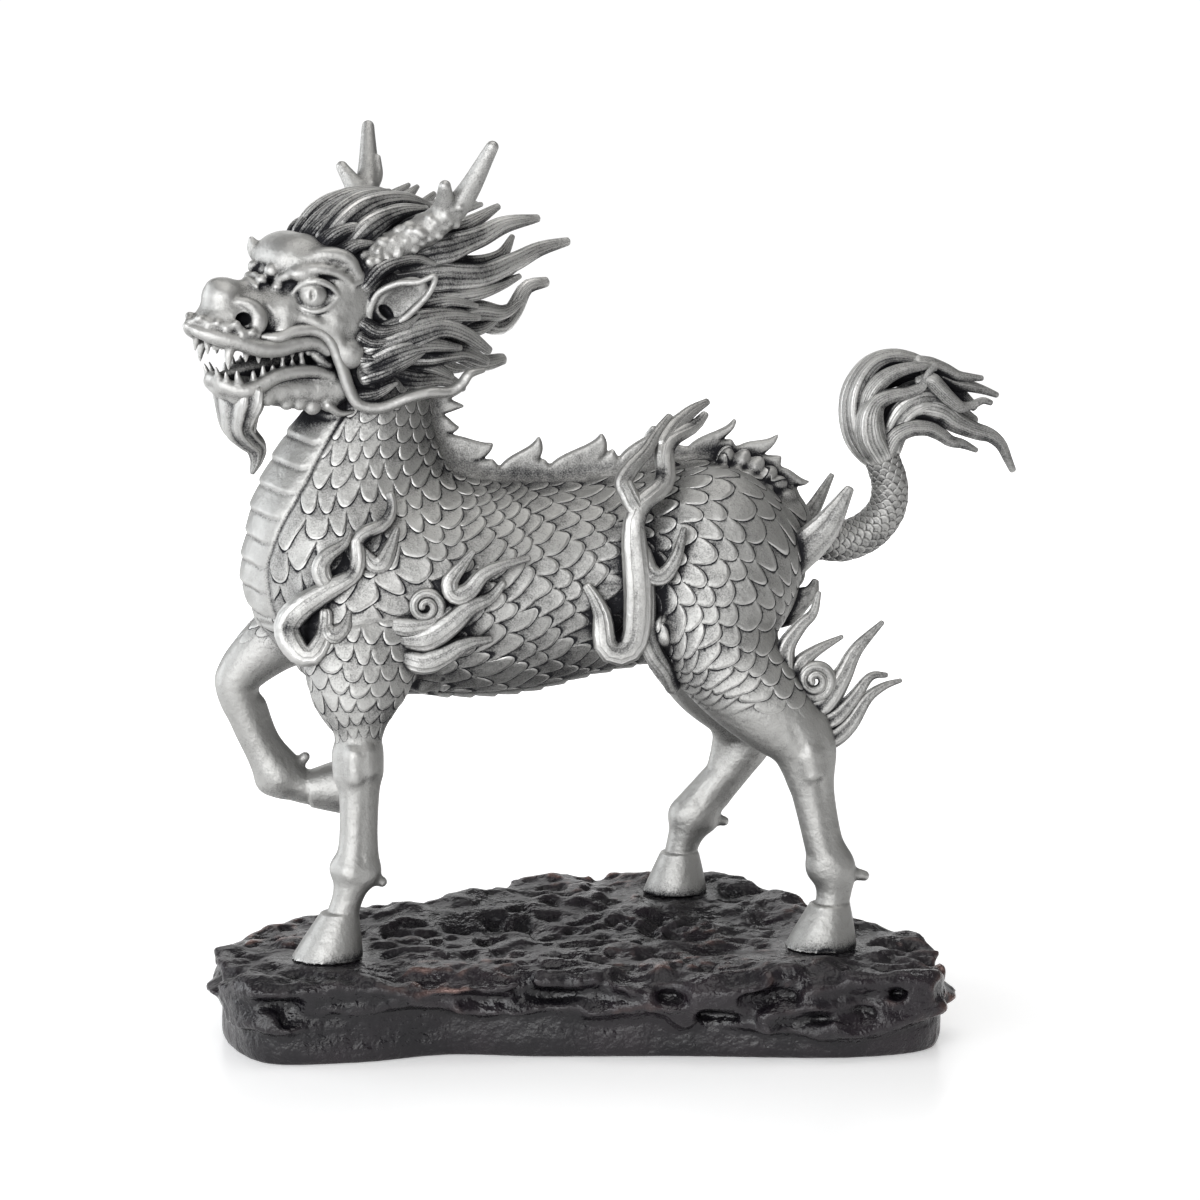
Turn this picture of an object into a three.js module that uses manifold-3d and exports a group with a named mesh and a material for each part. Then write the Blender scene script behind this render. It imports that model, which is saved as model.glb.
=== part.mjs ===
// Qilin figure: a horned, scaled and hoofed beast cast in pewter, walking over a dark rock base.
//
// Millimetres, +Z up. The beast faces -X and turns its head towards -Y, its better finished side.
// The origin is the middle of the rock's flat underside.
import * as THREE from 'three';
import { mergeVertices } from 'three/addons/utils/BufferGeometryUtils.js';
import Module from 'manifold-3d';

const wasm = await Module();
wasm.setup();

// Driving sizes, in millimetres
const FIGURE_HEIGHT = 200;      // from the near soles to the tip of the near horn
const ROCK_HEIGHT = 21.7;       // from the underside to the flats under the near hooves
const ROCK_BEYOND_FRONT = 28.4; // from the middle of the near fore hoof to the rock's front end
const ROCK_BEYOND_REAR = 34;    // from the middle of the near hind hoof to the rock's rear end
const ROCK_BEYOND_NEAR = 27.6;  // from the middle of the near hooves to the rock's near side
const ROCK_BEYOND_FAR = 24.6;   // from the middle of the far hoof to the rock's far side
const FAR_STEP = 2;             // how much higher the rock is under the far hind hoof
const HOOF_CLEARANCE = 0.3;     // gap between a sole and its flat
const FLAT_MARGIN = 1.5;        // how far a flat reaches past its hoof

// The figure is drawn in hundredths of its own height, with its soles at z = 0
const HUNDREDTH = FIGURE_HEIGHT / 100;
const SOLE_LEVEL = ROCK_HEIGHT + HOOF_CLEARANCE;

const toModel = new THREE.Matrix4()
  .makeTranslation(0, 0, SOLE_LEVEL)
  .multiply(new THREE.Matrix4().makeScale(HUNDREDTH, HUNDREDTH, HUNDREDTH));

// The head's own axes: forward, to the beast's left, and up, from the middle of the skull
const HEAD_CENTRE = [-29.9, 0, 77.1];
const HEAD_YAW = THREE.MathUtils.degToRad(30);
const HEAD_ROLL = THREE.MathUtils.degToRad(-4);

const headToModel = toModel
  .clone()
  .multiply(new THREE.Matrix4().makeTranslation(...HEAD_CENTRE))
  .multiply(new THREE.Matrix4().makeRotationZ(Math.PI + HEAD_YAW))
  .multiply(new THREE.Matrix4().makeRotationX(HEAD_ROLL));

// Solids

function signedVolume(positions, index) {
  const a = new THREE.Vector3();
  const b = new THREE.Vector3();
  const c = new THREE.Vector3();
  let sum = 0;
  for (let i = 0; i < index.length; i += 3) {
    a.fromArray(positions, 3 * index[i]);
    b.fromArray(positions, 3 * index[i + 1]);
    c.fromArray(positions, 3 * index[i + 2]);
    sum += a.dot(b.cross(c)) / 6;
  }
  return sum;
}

// A closed geometry as a solid with its faces pointing out
function solid(geometry, placement = new THREE.Matrix4()) {
  geometry.deleteAttribute('normal');
  geometry.deleteAttribute('uv');
  geometry.applyMatrix4(placement);
  const merged = mergeVertices(geometry, 1e-3);
  const positions = merged.attributes.position.array;
  const index = Array.from(merged.index.array);
  if (signedVolume(positions, index) < 0) {
    index.reverse();
  }
  const mesh = new wasm.Mesh({
    numProp: 3,
    vertProperties: new Float32Array(positions),
    triVerts: new Uint32Array(index),
  });
  return new wasm.Manifold(mesh);
}

function unite(solids) {
  return solids.flat(Infinity).reduce((sum, next) => sum.add(next));
}

function toGeometry(manifold) {
  const mesh = manifold.getMesh();
  const geometry = new THREE.BufferGeometry();
  geometry.setAttribute('position', new THREE.BufferAttribute(mesh.vertProperties, 3));
  geometry.setIndex(new THREE.BufferAttribute(mesh.triVerts, 1));
  geometry.computeVertexNormals();
  return geometry;
}

// Oval rings threaded on a smooth line. A station is [x, y, z, half depth, half width]: the half
// width lies along `across`, and the half depth square to it and to the line. With `facing` every
// ring faces that way. The ends close on a point that stands out by `bulge` times the end's size.
function loftGeometry(stations, options = {}) {
  const { sides = 8, across = [0, 1, 0], facing = null, bulge = 0.6 } = options;
  const line = new THREE.CatmullRomCurve3(
    stations.map(([x, y, z]) => new THREE.Vector3(x, y, z)), false, 'catmullrom', 0.5);
  const sizes = new THREE.CatmullRomCurve3(
    stations.map(([, , , depth, width]) => new THREE.Vector3(depth, width, 0)), false, 'catmullrom', 0.5);
  const steps = stations.length - 1;
  const positions = [];
  const ends = [];
  for (let i = 0; i <= steps; i += 1) {
    const t = i / steps;
    const centre = line.getPoint(t);
    const size = sizes.getPoint(t);
    const along = facing ? new THREE.Vector3(...facing).normalize() : line.getTangent(t);
    const widthAxis = new THREE.Vector3(...across).projectOnPlane(along).normalize();
    const depthAxis = new THREE.Vector3().crossVectors(widthAxis, along);
    for (let j = 0; j < sides; j += 1) {
      const angle = (2 * Math.PI * (j + 0.5)) / sides;
      const point = centre.clone();
      point.addScaledVector(depthAxis, Math.cos(angle) * size.x);
      point.addScaledVector(widthAxis, Math.sin(angle) * size.y);
      positions.push(...point.toArray());
    }
    if (i === 0 || i === steps) {
      const outward = i === 0 ? -1 : 1;
      ends.push(centre.clone().addScaledVector(along, outward * bulge * Math.min(size.x, size.y)));
    }
  }
  positions.push(...ends[0].toArray(), ...ends[1].toArray());
  const index = [];
  const first = (steps + 1) * sides;
  for (let j = 0; j < sides; j += 1) {
    const k = (j + 1) % sides;
    for (let i = 0; i < steps; i += 1) {
      const a = i * sides + j;
      const b = i * sides + k;
      index.push(a, b, a + sides, b, b + sides, a + sides);
    }
    index.push(first, k, j);
    index.push(first + 1, steps * sides + j, steps * sides + k);
  }
  const geometry = new THREE.BufferGeometry();
  geometry.setAttribute('position', new THREE.Float32BufferAttribute(positions, 3));
  geometry.setIndex(index);
  return geometry;
}

const loft = (stations, options) => solid(loftGeometry(stations, options), toModel);
const headLoft = (stations, options) => solid(loftGeometry(stations, options), headToModel);

function ovalGeometry(centre, radii, sides) {
  const geometry = new THREE.SphereGeometry(1, sides, Math.max(4, Math.round(sides * 0.6)));
  geometry.rotateX(Math.PI / 2);
  geometry.scale(...radii);
  geometry.translate(...centre);
  return geometry;
}

const oval = (centre, radii, sides) => solid(ovalGeometry(centre, radii, sides), toModel);
const headOval = (centre, radii, sides) => solid(ovalGeometry(centre, radii, sides), headToModel);

// A form and its mirror image on the beast's other side
const NEAR = -1;
const FAR = 1;
const bothSides = (make) => [make(1), make(-1)];

// A tongue of flame or a lock of hair, thick at the root and thin at the tip, along a few points
function tongue(points, root, tip, make = loft, flatness = 0.8, sides = 5) {
  const stations = points.map((point, i) => {
    const size = THREE.MathUtils.lerp(root, tip, (i / (points.length - 1)) ** 1.5);
    return [...point, size, size * flatness];
  });
  return make(stations, { sides, bulge: 1 });
}

// A flat spiral of a round cord, seen from the side
function spiral([x, y, z], radius, cord, turns, startAngle, side) {
  const count = Math.round(turns * 5);
  const stations = [];
  for (let i = 0; i <= count; i += 1) {
    const share = i / count;
    const angle = startAngle - side * turns * 2 * Math.PI * share;
    const reach = radius * (1 - 0.78 * share);
    const size = cord * (1 - 0.35 * share);
    stations.push([x + reach * Math.cos(angle), y, z + reach * Math.sin(angle), size, size]);
  }
  return loft(stations, { sides: 5 });
}

// Body, neck and haunches

const TRUNK = [
  [27.5, 0, 49, 3, 3],
  [25, 0, 49, 6.4, 6.4],
  [21, 0, 48.2, 10.2, 10.2],
  [14, 0, 47.2, 12.3, 12],
  [6, 0, 45.8, 11.9, 12],
  [-2, 0, 44.6, 12.2, 12.2],
  [-10, 0, 43.7, 13.3, 12.8],
  [-18, 0, 43.9, 13.8, 13.2],
  [-26, 0, 44.8, 13.6, 13.2],
  [-33, 0, 45.4, 12, 10],
  [-38.5, 0, 46.4, 8.4, 7],
  [-41.2, 0, 47, 4.4, 3.6],
];

const NECK = [
  [-29.5, 0, 34.5, 7.6, 7],
  [-29, 0, 38.5, 11.6, 10],
  [-29.1, 0, 43, 13.3, 11.3],
  [-29.8, 0, 48.9, 13.2, 10.8],
  [-29.3, 0, 54.4, 12.6, 9.2],
  [-28.7, 0, 60, 10.4, 7.5],
  [-28, 0, 65.2, 7.8, 6.5],
  [-27.5, 0, 71, 6.7, 6.2],
  [-27.5, 0, 76, 6, 5.8],
];

function makeBody() {
  return [
    loft(TRUNK, { sides: 16 }),
    loft(NECK, { sides: 12 }),
    bothSides((side) => oval([14.6, 6.2 * side, 46.3], [10, 7.6, 12.6], 12)),
  ];
}

// Legs, each as stations from the body down to the pastern, and a hoof below

const NEAR_FORE_LEG = [
  [-28.6, -7.5, 45, 8.4, 5.5],
  [-29.2, -10, 37.4, 7.3, 4.9],
  [-29.7, -11, 31.6, 5.5, 4.3],
  [-29.6, -11.5, 27.6, 3.6, 3.4],
  [-29.6, -12, 23.6, 3.1, 3],
  [-29.9, -12.5, 19.4, 2.2, 2.1],
  [-30.1, -12.8, 14.4, 2.1, 2],
  [-30.4, -13, 10.7, 2.5, 2.3],
  [-31.2, -13.1, 7.4, 1.9, 2],
  [-32.1, -13.2, 4.6, 1.9, 2],
];

const FAR_FORE_LEG = [
  [-29.5, 7.5, 45, 7.5, 5.5],
  [-34.5, 8.5, 39, 5.2, 4.2],
  [-40.6, 9, 35, 3.8, 3.4],
  [-44.6, 9.5, 30.6, 2.9, 2.8],
  [-43.5, 9.5, 25.6, 2.3, 2.3],
  [-41.6, 9.5, 21.4, 2.3, 2.2],
  [-39.6, 9.5, 18.2, 2.7, 2.6],
  [-36.8, 9.5, 16.8, 2.3, 2.2],
  [-34, 9.5, 16, 2.3, 2.2],
];

const NEAR_HIND_LEG = [
  [14.6, -8, 44, 8.4, 6],
  [14.6, -9.5, 38.8, 7.3, 5.4],
  [17, -10.8, 34.2, 6.3, 4.8],
  [20.6, -11.8, 30, 5.3, 4.2],
  [24.2, -12.4, 26.2, 4.1, 3.3],
  [25.6, -12.6, 22.8, 3.1, 2.7],
  [26.6, -12.8, 18.4, 2.7, 2.4],
  [27.8, -13, 13.3, 2.6, 2.4],
  [28.8, -13, 9.8, 2.9, 2.6],
  [29, -13.1, 6.8, 2.2, 2.1],
  [28.5, -13.2, 4.2, 2, 2.1],
];

const FAR_HIND_LEG = [
  [14.4, 8, 44, 8, 6],
  [13.4, 9.3, 36.6, 7, 5],
  [15.6, 10.5, 30, 5.2, 4.2],
  [19.6, 11.2, 25.4, 4.2, 3.6],
  [21.6, 11.5, 21.8, 3.3, 3],
  [19.6, 11.9, 18, 2.6, 2.5],
  [16.6, 12.3, 14.4, 2.6, 2.4],
  [14.5, 12.5, 11.2, 3, 2.7],
  [13.2, 12.6, 8, 2.2, 2.2],
  [12.6, 12.7, 5.4, 2.1, 2.1],
];

const legOptions = { sides: 8 };

// A hoof flares from its rim, under the pastern, to a flat sole
function hoof(rim, sole, rimSize, soleSize, facing = [0, 0, -1]) {
  const middle = rim.map((value, i) => (value + sole[i]) / 2);
  const middleSize = (rimSize + soleSize) / 2 - 0.1;
  const stations = [
    [...rim, rimSize, rimSize * 0.95],
    [...middle, middleSize, middleSize * 0.95],
    [...sole, soleSize, soleSize * 0.92],
  ];
  return loft(stations, { sides: 10, facing, bulge: 0 });
}

const dewclaw = (root, tip) => tongue([root, tip], 0.9, 0.35);

// Soles that stand on the rock: middle of the sole and its half depth
const FAR_SOLE_LEVEL = FAR_STEP / HUNDREDTH;
const NEAR_FORE_SOLE = { at: [-33.8, -13.2, 0], size: 4.4 };
const NEAR_HIND_SOLE = { at: [27.4, -13.2, 0], size: 4.5 };
const FAR_HIND_SOLE = { at: [12, 12.7, FAR_SOLE_LEVEL], size: 4.2 };

function makeLegs() {
  return [
    loft(NEAR_FORE_LEG, legOptions),
    hoof([-32.2, -13.2, 5.6], NEAR_FORE_SOLE.at, 2.3, NEAR_FORE_SOLE.size),
    dewclaw([-29.2, -13, 10.2], [-27, -13, 9.2]),
    loft(NEAR_HIND_LEG, legOptions),
    hoof([28.5, -13.2, 5.4], NEAR_HIND_SOLE.at, 2.5, NEAR_HIND_SOLE.size),
    dewclaw([30.4, -13, 9.6], [33.2, -13, 9]),
    loft(FAR_HIND_LEG, legOptions),
    hoof([12.6, 12.7, 6.2], FAR_HIND_SOLE.at, 2.5, FAR_HIND_SOLE.size),
    dewclaw([16, 12.5, 10.8], [18.4, 12.5, 10.2]),
    loft(FAR_FORE_LEG, legOptions),
    hoof([-34.9, 9.5, 16.2], [-30.2, 9.5, 15.2], 2.5, 3.2, [1, 0, -0.2]),
    dewclaw([-38, 9.5, 18.6], [-36.2, 9.5, 20.4]),
  ];
}

// Crest of flame-like fins along the neck and back: root start, tip and root end, in side view

const FINS = [
  [[-20.6, 68], [-15.5, 66], [-18.8, 65.2]],
  [[-19, 66], [-16.3, 63.9], [-18.2, 62.6]],
  [[-18.4, 63], [-12.3, 61.7], [-14.4, 58.6]],
  [[-12.4, 57.6], [-6.6, 62.4], [-5.6, 58]],
  [[-4.6, 58.6], [1, 62.7], [1.6, 57.8]],
  [[2, 58.4], [9.6, 64.9], [10.8, 59.2]],
  [[10.2, 61], [18, 64.7], [17, 59.6]],
  [[17.2, 60], [23.3, 62.6], [22.6, 57.2]],
  [[22.6, 58.4], [27.6, 56.5], [25.6, 53.6]],
];
const FIN_THICKNESS = 1.5;
const FIN_ROOT_DEPTH = 3;

function fin([[x0, z0], [x1, z1], [x2, z2]]) {
  const shape = new THREE.Shape();
  shape.moveTo(x0, z0 - FIN_ROOT_DEPTH);
  shape.lineTo(x0, z0);
  shape.quadraticCurveTo((x0 + x1) / 2, z0 + (z1 - z0) * 0.9, x1, z1);
  shape.quadraticCurveTo(x2 + (x1 - x2) * 0.1, z2 + (z1 - z2) * 0.5, x2, z2 - 0.6);
  shape.lineTo(x2, z2 - FIN_ROOT_DEPTH);
  const geometry = new THREE.ExtrudeGeometry(shape, {
    depth: FIN_THICKNESS,
    bevelEnabled: false,
    curveSegments: 3,
  });
  geometry.rotateX(Math.PI / 2);
  geometry.translate(0, FIN_THICKNESS / 2, 0);
  return solid(geometry, toModel);
}

// The ridge that the fins grow from, over the back and down the rump
const RIDGE = [
  [-21, 0, 68, 1.8, 1.6],
  [-19.6, 0, 62, 2.2, 2],
  [-13, 0, 57, 2.2, 2.2],
  [-2, 0, 56.6, 2, 2.2],
  [10, 0, 58.6, 2.2, 2.4],
  [19, 0, 58.8, 2.4, 2.6],
  [25, 0, 53.6, 2.2, 2.4],
];

const makeCrest = () => [loft(RIDGE), FINS.map(fin)];

// Tail and its tuft of hair, blown back over the tail's end

const TAIL = [
  [24.5, 0, 49.2, 3.4, 3.4],
  [28.4, 0, 49.2, 2.6, 2.6],
  [31.8, 0, 48.9, 2.5, 2.5],
  [35, 0, 50.2, 2.45, 2.4],
  [37.2, 0, 52.8, 2.3, 2.3],
  [37.6, 0, 56, 2.2, 2.2],
  [36.6, 0, 59.2, 2.1, 2.1],
  [35.6, 0, 61.6, 2.1, 2.2],
];

// Locks of the tuft: points from the tail's end to the tip, then the thickest half depth
const TUFT_LOCKS = [
  [[[35.8, 0, 60], [35.6, 0, 63.6], [36.4, 0, 67.4], [39.4, 0, 69], [44, 0, 68.4], [48, 0, 67]], 2.6],
  [[[36, -1, 60.4], [34.4, -1.2, 65], [34.2, -1.4, 69.4], [37.6, -1.4, 71.8], [43, -1.2, 70.6], [49, -1, 69.2]], 1.9],
  [[[36, 1, 60.4], [34.9, 1.6, 65], [34.8, 1.9, 69], [38.6, 2, 70.6], [44.6, 1.8, 68.8], [51.1, 1.2, 67]], 1.9],
  [[[36.6, -2, 60.6], [36.6, -3, 64], [39.2, -3, 67.4], [43, -2.4, 68], [47, -1.6, 66.6], [50.5, -1, 66.2]], 1.5],
  [[[37, 0, 60.2], [38.6, 0, 63], [42, 0, 65], [46.4, 0, 64.4], [51, 0, 61.6], [53.3, 0, 57.5]], 1.6],
  [[[37, 2, 60.4], [39, 2.6, 62.4], [42.4, 2.6, 63.2], [45.8, 2, 62.2], [48.7, 1.4, 60]], 1.2],
];

function makeTail() {
  const locks = TUFT_LOCKS.map(([points, size]) => tongue(points, size, 0.3, loft, 1));
  return [loft(TAIL, { sides: 10 }), locks];
}

// Flames that lie on the shoulder, flank and hock, plainer on the far side

function makeShoulderFlames(side) {
  const on = (points) => points.map(([x, y, z]) => [x, side * y, z]);
  const stem = [
    [-33, 13, 41.6], [-35.2, 12.6, 37.8], [-37.2, 11.6, 38.6], [-38, 11, 41], [-35.6, 11.8, 43.8],
    [-31.6, 12.4, 46.2], [-29.6, 12, 49.4], [-28.6, 11, 52.2], [-26.2, 10, 53.4], [-25.3, 9.4, 56.5],
  ];
  const branches = [
    tongue(on([[-31, 12.4, 46.4], [-33.4, 11.6, 46.6], [-33.5, 11.2, 49.2], [-30.5, 10.6, 52.4]]), 0.9, 0.4),
    tongue(on([[-29, 12, 50], [-27, 11.8, 48.6], [-25.6, 11.4, 50.4], [-24.6, 11, 52.6]]), 1, 0.4),
    tongue(on([[-17, 13.3, 48.3], [-18.3, 13.7, 45.2], [-14.6, 13.6, 47], [-9.1, 13, 49]]), 0.9, 0.4),
    tongue(on([[-24.8, 12.2, 38], [-21, 12.8, 36.6], [-16.6, 13, 38.6], [-13.6, 13, 39.2]]), 1, 0.4),
  ];
  return [
    tongue(on(stem), 1.3, 0.7, loft, 1),
    spiral([-21.4, 13.4 * side, 43], 2.1, 0.75, 1.6, -1.6, 1),
    tongue(on([[-24.8, 12.6, 39.8], [-21, 13.4, 39.4], [-16.4, 13.6, 43], [-12.1, 13.4, 46]]), 1.1, 0.5),
    side === NEAR ? branches : [],
  ];
}

function makeFlankRibbon(side) {
  const on = (points) => points.map(([x, y, z]) => [x, side * y, z]);
  const stem = [
    [-0.6, 12.4, 44.4], [0.2, 12.4, 40.4], [1.8, 12.2, 37.6], [4, 12.6, 39], [4.5, 13, 45], [3.9, 13, 52],
    [5.8, 12.2, 56.2], [8.4, 10, 59.4], [9, 7.6, 62.6], [13.2, 5.4, 65.4],
  ];
  const branches = [
    tongue(on([[4.4, 12.4, 56], [2.8, 11, 58.4], [4.6, 9.6, 60.4], [8, 7, 64.2]]), 1, 0.5),
    tongue(on([[4.7, 12.6, 49.4], [6.6, 13.2, 47.2], [9.2, 13.4, 49.2], [10, 13, 52.2]]), 1.1, 0.4),
    tongue(on([[4, 12.6, 40], [5.2, 11.4, 36], [7, 9, 33.4]]), 1.4, 0.8),
  ];
  return [tongue(on(stem), 1.9, 0.6, loft, 0.8, 6), side === NEAR ? branches : branches[0]];
}

function makeHockFlames() {
  return [
    spiral([26.4, -12.4, 33.4], 2.3, 0.85, 1.6, -0.6, -1),
    tongue([[23, -11.6, 32.6], [22.9, -12, 37.6], [25, -12, 40.4], [26.7, -12, 43.9]], 1.2, 0.4),
    tongue([[24.2, -11.8, 34], [25.6, -12, 36.8], [29.6, -12, 38.5]], 0.9, 0.4),
    tongue([[25.6, -11.8, 29], [29, -12, 31.4], [31, -12, 36], [34.6, -12, 40.2]], 1.6, 0.4),
    tongue([[25.4, -11.8, 26], [29.8, -12, 26.8], [32.6, -12, 31], [36.9, -12, 33.1]], 1.5, 0.4),
  ];
}

// Pointed leaves beside the root of the tail
const makeRumpLeaves = (side) => [
  tongue([[23, 4 * side, 46.5], [27.4, 6.4 * side, 51.6], [30.9, 7 * side, 56.7]], 2.2, 0.5),
  tongue([[22.6, 4 * side, 42.4], [24.6, 4.4 * side, 44.6], [28.1, 4.4 * side, 45.6]], 1.3, 0.5),
];

const makeFlames = () => [
  [NEAR, FAR].map(makeShoulderFlames),
  [NEAR, FAR].map(makeFlankRibbon),
  [NEAR, FAR].map(makeRumpLeaves),
  makeHockFlames(),
];

// Head, in its own axes: [forward, left, up]

const SKULL = [
  [-11.4, 0, 3, 3.4, 3.4],
  [-8.4, 0, 3, 7.4, 6.6],
  [-3, 0, 3.6, 8.7, 8.2],
  [3, 0, 4.2, 7.7, 7.6],
  [7.5, 0, 3.2, 5.6, 6],
  [11, 0, 1.8, 3.8, 4.8],
  [15, 0, 1.4, 3.4, 4.2],
  [18.4, 0, 1.1, 3, 3.6],
  [21, 0, 0.4, 1.7, 2.4],
  [22.4, 0, -0.1, 0.6, 1],
];

const JAW = [
  [1, 0, -5.2, 4.6, 6],
  [6, 0, -7.8, 3.1, 5],
  [11.5, 0, -7.9, 2.2, 3.8],
  [16, 0, -7.9, 1.8, 3.4],
  [19, 0, -6.8, 1.1, 2.2],
];

const BEARD = [
  [17.4, 0, -8, 1.6, 1.5],
  [17.1, 0, -10.6, 2.1, 1.5],
  [15, 0, -13.4, 1.5, 1.1],
  [13.4, 0, -18, 0.4, 0.4],
];

const BROW = [[13.4, 2, 5.4], [12, 3.6, 7.2], [8.8, 5.6, 8.3], [4.2, 7, 6.8]];
const WHISKER = [
  [14.4, 4, -0.6], [8.6, 6, 0], [6, 6.8, -3.2], [3.2, 7.6, -9], [-2.8, 10, -8.3], [-7.4, 11.4, -7.6],
  [-11.6, 12.5, -5],
];
const HORN = [[1, 6, 7.6], [-1.9, 7, 9.8], [-5.4, 8.8, 12.2], [-8.6, 11, 15.6], [-10.6, 14.4, 22.4]];
const HORN_PRONG = [[-5.6, 9, 12], [-6.6, 10.2, 14.6], [-5.4, 12.2, 17.8]];
const EAR = [[1.6, 7, 1], [0.2, 9, 3.4], [-1.8, 11.4, 5], [-3.9, 13, 6.8]];
const FANGS = [
  [[17.6, 2.8, -0.6], [19.1, 3.6, -4.6]],
  [[16.6, 2.6, -8], [18.3, 3, -5.3]],
  [[20, 1.4, -0.2], [19.8, 2, -3.2]],
];

// Locks of the mane: root, tip, how far the middle is lifted off the straight line, and size
const MANE_LOCKS = [
  [[4.6, 1, 10], [-5.4, 1, 15.9], 1.8, 1.5],
  [[2, 3, 10], [-9.2, 3, 14.2], 1, 1.5],
  [[-1.6, 2, 10], [-8.4, 1, 16.4], -0.8, 1.2],
  [[-2, 6.6, 8.6], [-20.3, 9.8, 13], -1, 1.7],
  [[-2, 6.4, 7], [-18.1, 7, 10.4], -2, 1.6],
  [[-1.4, 7.6, 5.4], [-25, 9.6, 10], -1.6, 1.8],
  [[-1, 8, 3], [-17.8, 9.8, 5.9], -0.8, 1.5],
  [[-3, 5, 1], [-25.3, 5, 4.2], -2.6, 1.8],
  [[1, 7.4, -1.6], [-12, 9.4, 1.4], 0.9, 1.5],
  [[1.6, 7.2, -3.2], [-13.8, 9.8, -3], 2.4, 1.5],
  [[-3, 4, -1.6], [-18.5, 6, -5], -1, 1.6],
  [[2, 4.4, -5], [-9.2, 9, -5.6], 1.2, 1.5],
];

function maneLock([root, tip, lift, size], side) {
  const points = [0, 0.4, 0.75, 1].map((share) => [
    THREE.MathUtils.lerp(root[0], tip[0], share),
    side * THREE.MathUtils.lerp(root[1], tip[1], share),
    THREE.MathUtils.lerp(root[2], tip[2], share) + lift * Math.sin(Math.PI * share),
  ]);
  return tongue(points, size, 0.3, headLoft, 0.8);
}

function makeHead() {
  const on = (points, side) => points.map(([f, l, up]) => [f, side * l, up]);
  return [
    headLoft(SKULL, { sides: 10 }),
    headLoft(JAW, { sides: 8 }),
    headLoft(BEARD, { sides: 6 }),
    headOval([18, 0, 3.4], [2.1, 2.4, 2.2], 7),
    bothSides((side) => [
      headOval([15, 3 * side, 1.5], [2.1, 1.5, 1.7], 6),
      headOval([8.2, 5.2 * side, 4.2], [2.1, 1.8, 1.9], 6),
      headOval([4.6, 6.4 * side, -1], [3, 2.2, 3.4], 6),
      tongue(on(BROW, side), 1, 0.8, headLoft),
      tongue(on(WHISKER, side), 1, 0.5, headLoft, 1),
      tongue(on(HORN, side), 2, 0.9, headLoft, 1, 7),
      tongue(on(HORN_PRONG, side), 1.3, 0.7, headLoft, 1),
      headLoft(on(EAR, side).map((point, i) => [...point, [1.8, 2.3, 1.7, 0.3][i], 0.8]), {
        sides: 6,
        across: [0.7, 0.6 * side, 0],
      }),
      FANGS.map((points) => tongue(on(points, side), 0.6, 0.15, headLoft, 1, 4)),
      MANE_LOCKS.map((lock) => maneLock(lock, side)),
    ]),
  ];
}

// Rock base: plan outline as shares of its half length and half width, from the front end round

const ROCK_OUTLINE = [
  [-1, -0.35], [-0.93, 0.12], [-0.64, 0.42], [-0.36, 0.46], [-0.2, 0.8], [0.04, 1], [0.36, 0.8], [0.58, 0.64],
  [0.72, 0.2], [0.88, -0.14], [0.96, -0.6], [0.9, -0.9], [0.66, -1], [0.2, -0.9], [-0.14, -0.86],
  [-0.38, -0.8], [-0.62, -0.88], [-0.88, -0.84],
];

const soleInModel = ({ at }) => new THREE.Vector3(...at).applyMatrix4(toModel);
const rockFront = soleInModel(NEAR_FORE_SOLE).x - ROCK_BEYOND_FRONT;
const rockRear = soleInModel(NEAR_HIND_SOLE).x + ROCK_BEYOND_REAR;
const rockNear = soleInModel(NEAR_FORE_SOLE).y - ROCK_BEYOND_NEAR;
const rockFar = soleInModel(FAR_HIND_SOLE).y + ROCK_BEYOND_FAR;
const rockMiddle = [(rockFront + rockRear) / 2, (rockNear + rockFar) / 2];
const rockHalf = [(rockRear - rockFront) / 2, (rockFar - rockNear) / 2];

// Rings from the underside up over the side and in across the top: reach and height, both shares
const ROCK_RINGS = [
  [0.965, 0], [0.985, 0.3], [1, 0.62], [0.985, 0.86], [0.92, 0.98], [0.7, 0.99], [0.35, 0.97],
];
const ROCK_SIDES = 28;

// What the rock's face adds to its height: lumps, and a slope up to the flat under the far hoof
function lumps(x, y) {
  const along = (x - rockMiddle[0]) / rockHalf[0];
  const over = (y - rockMiddle[1]) / rockHalf[1];
  const coarse = Math.sin(7 * along + 2 * over) * Math.cos(5 * over - 3 * along);
  const fine = Math.sin(17 * along - 9 * over + 1) * Math.sin(13 * over + 5 * along);
  const slope = THREE.MathUtils.smoothstep(over, -0.1, 0.6) * (FAR_STEP + 1);
  return ROCK_HEIGHT * (0.04 * coarse + 0.03 * fine) + slope;
}

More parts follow.
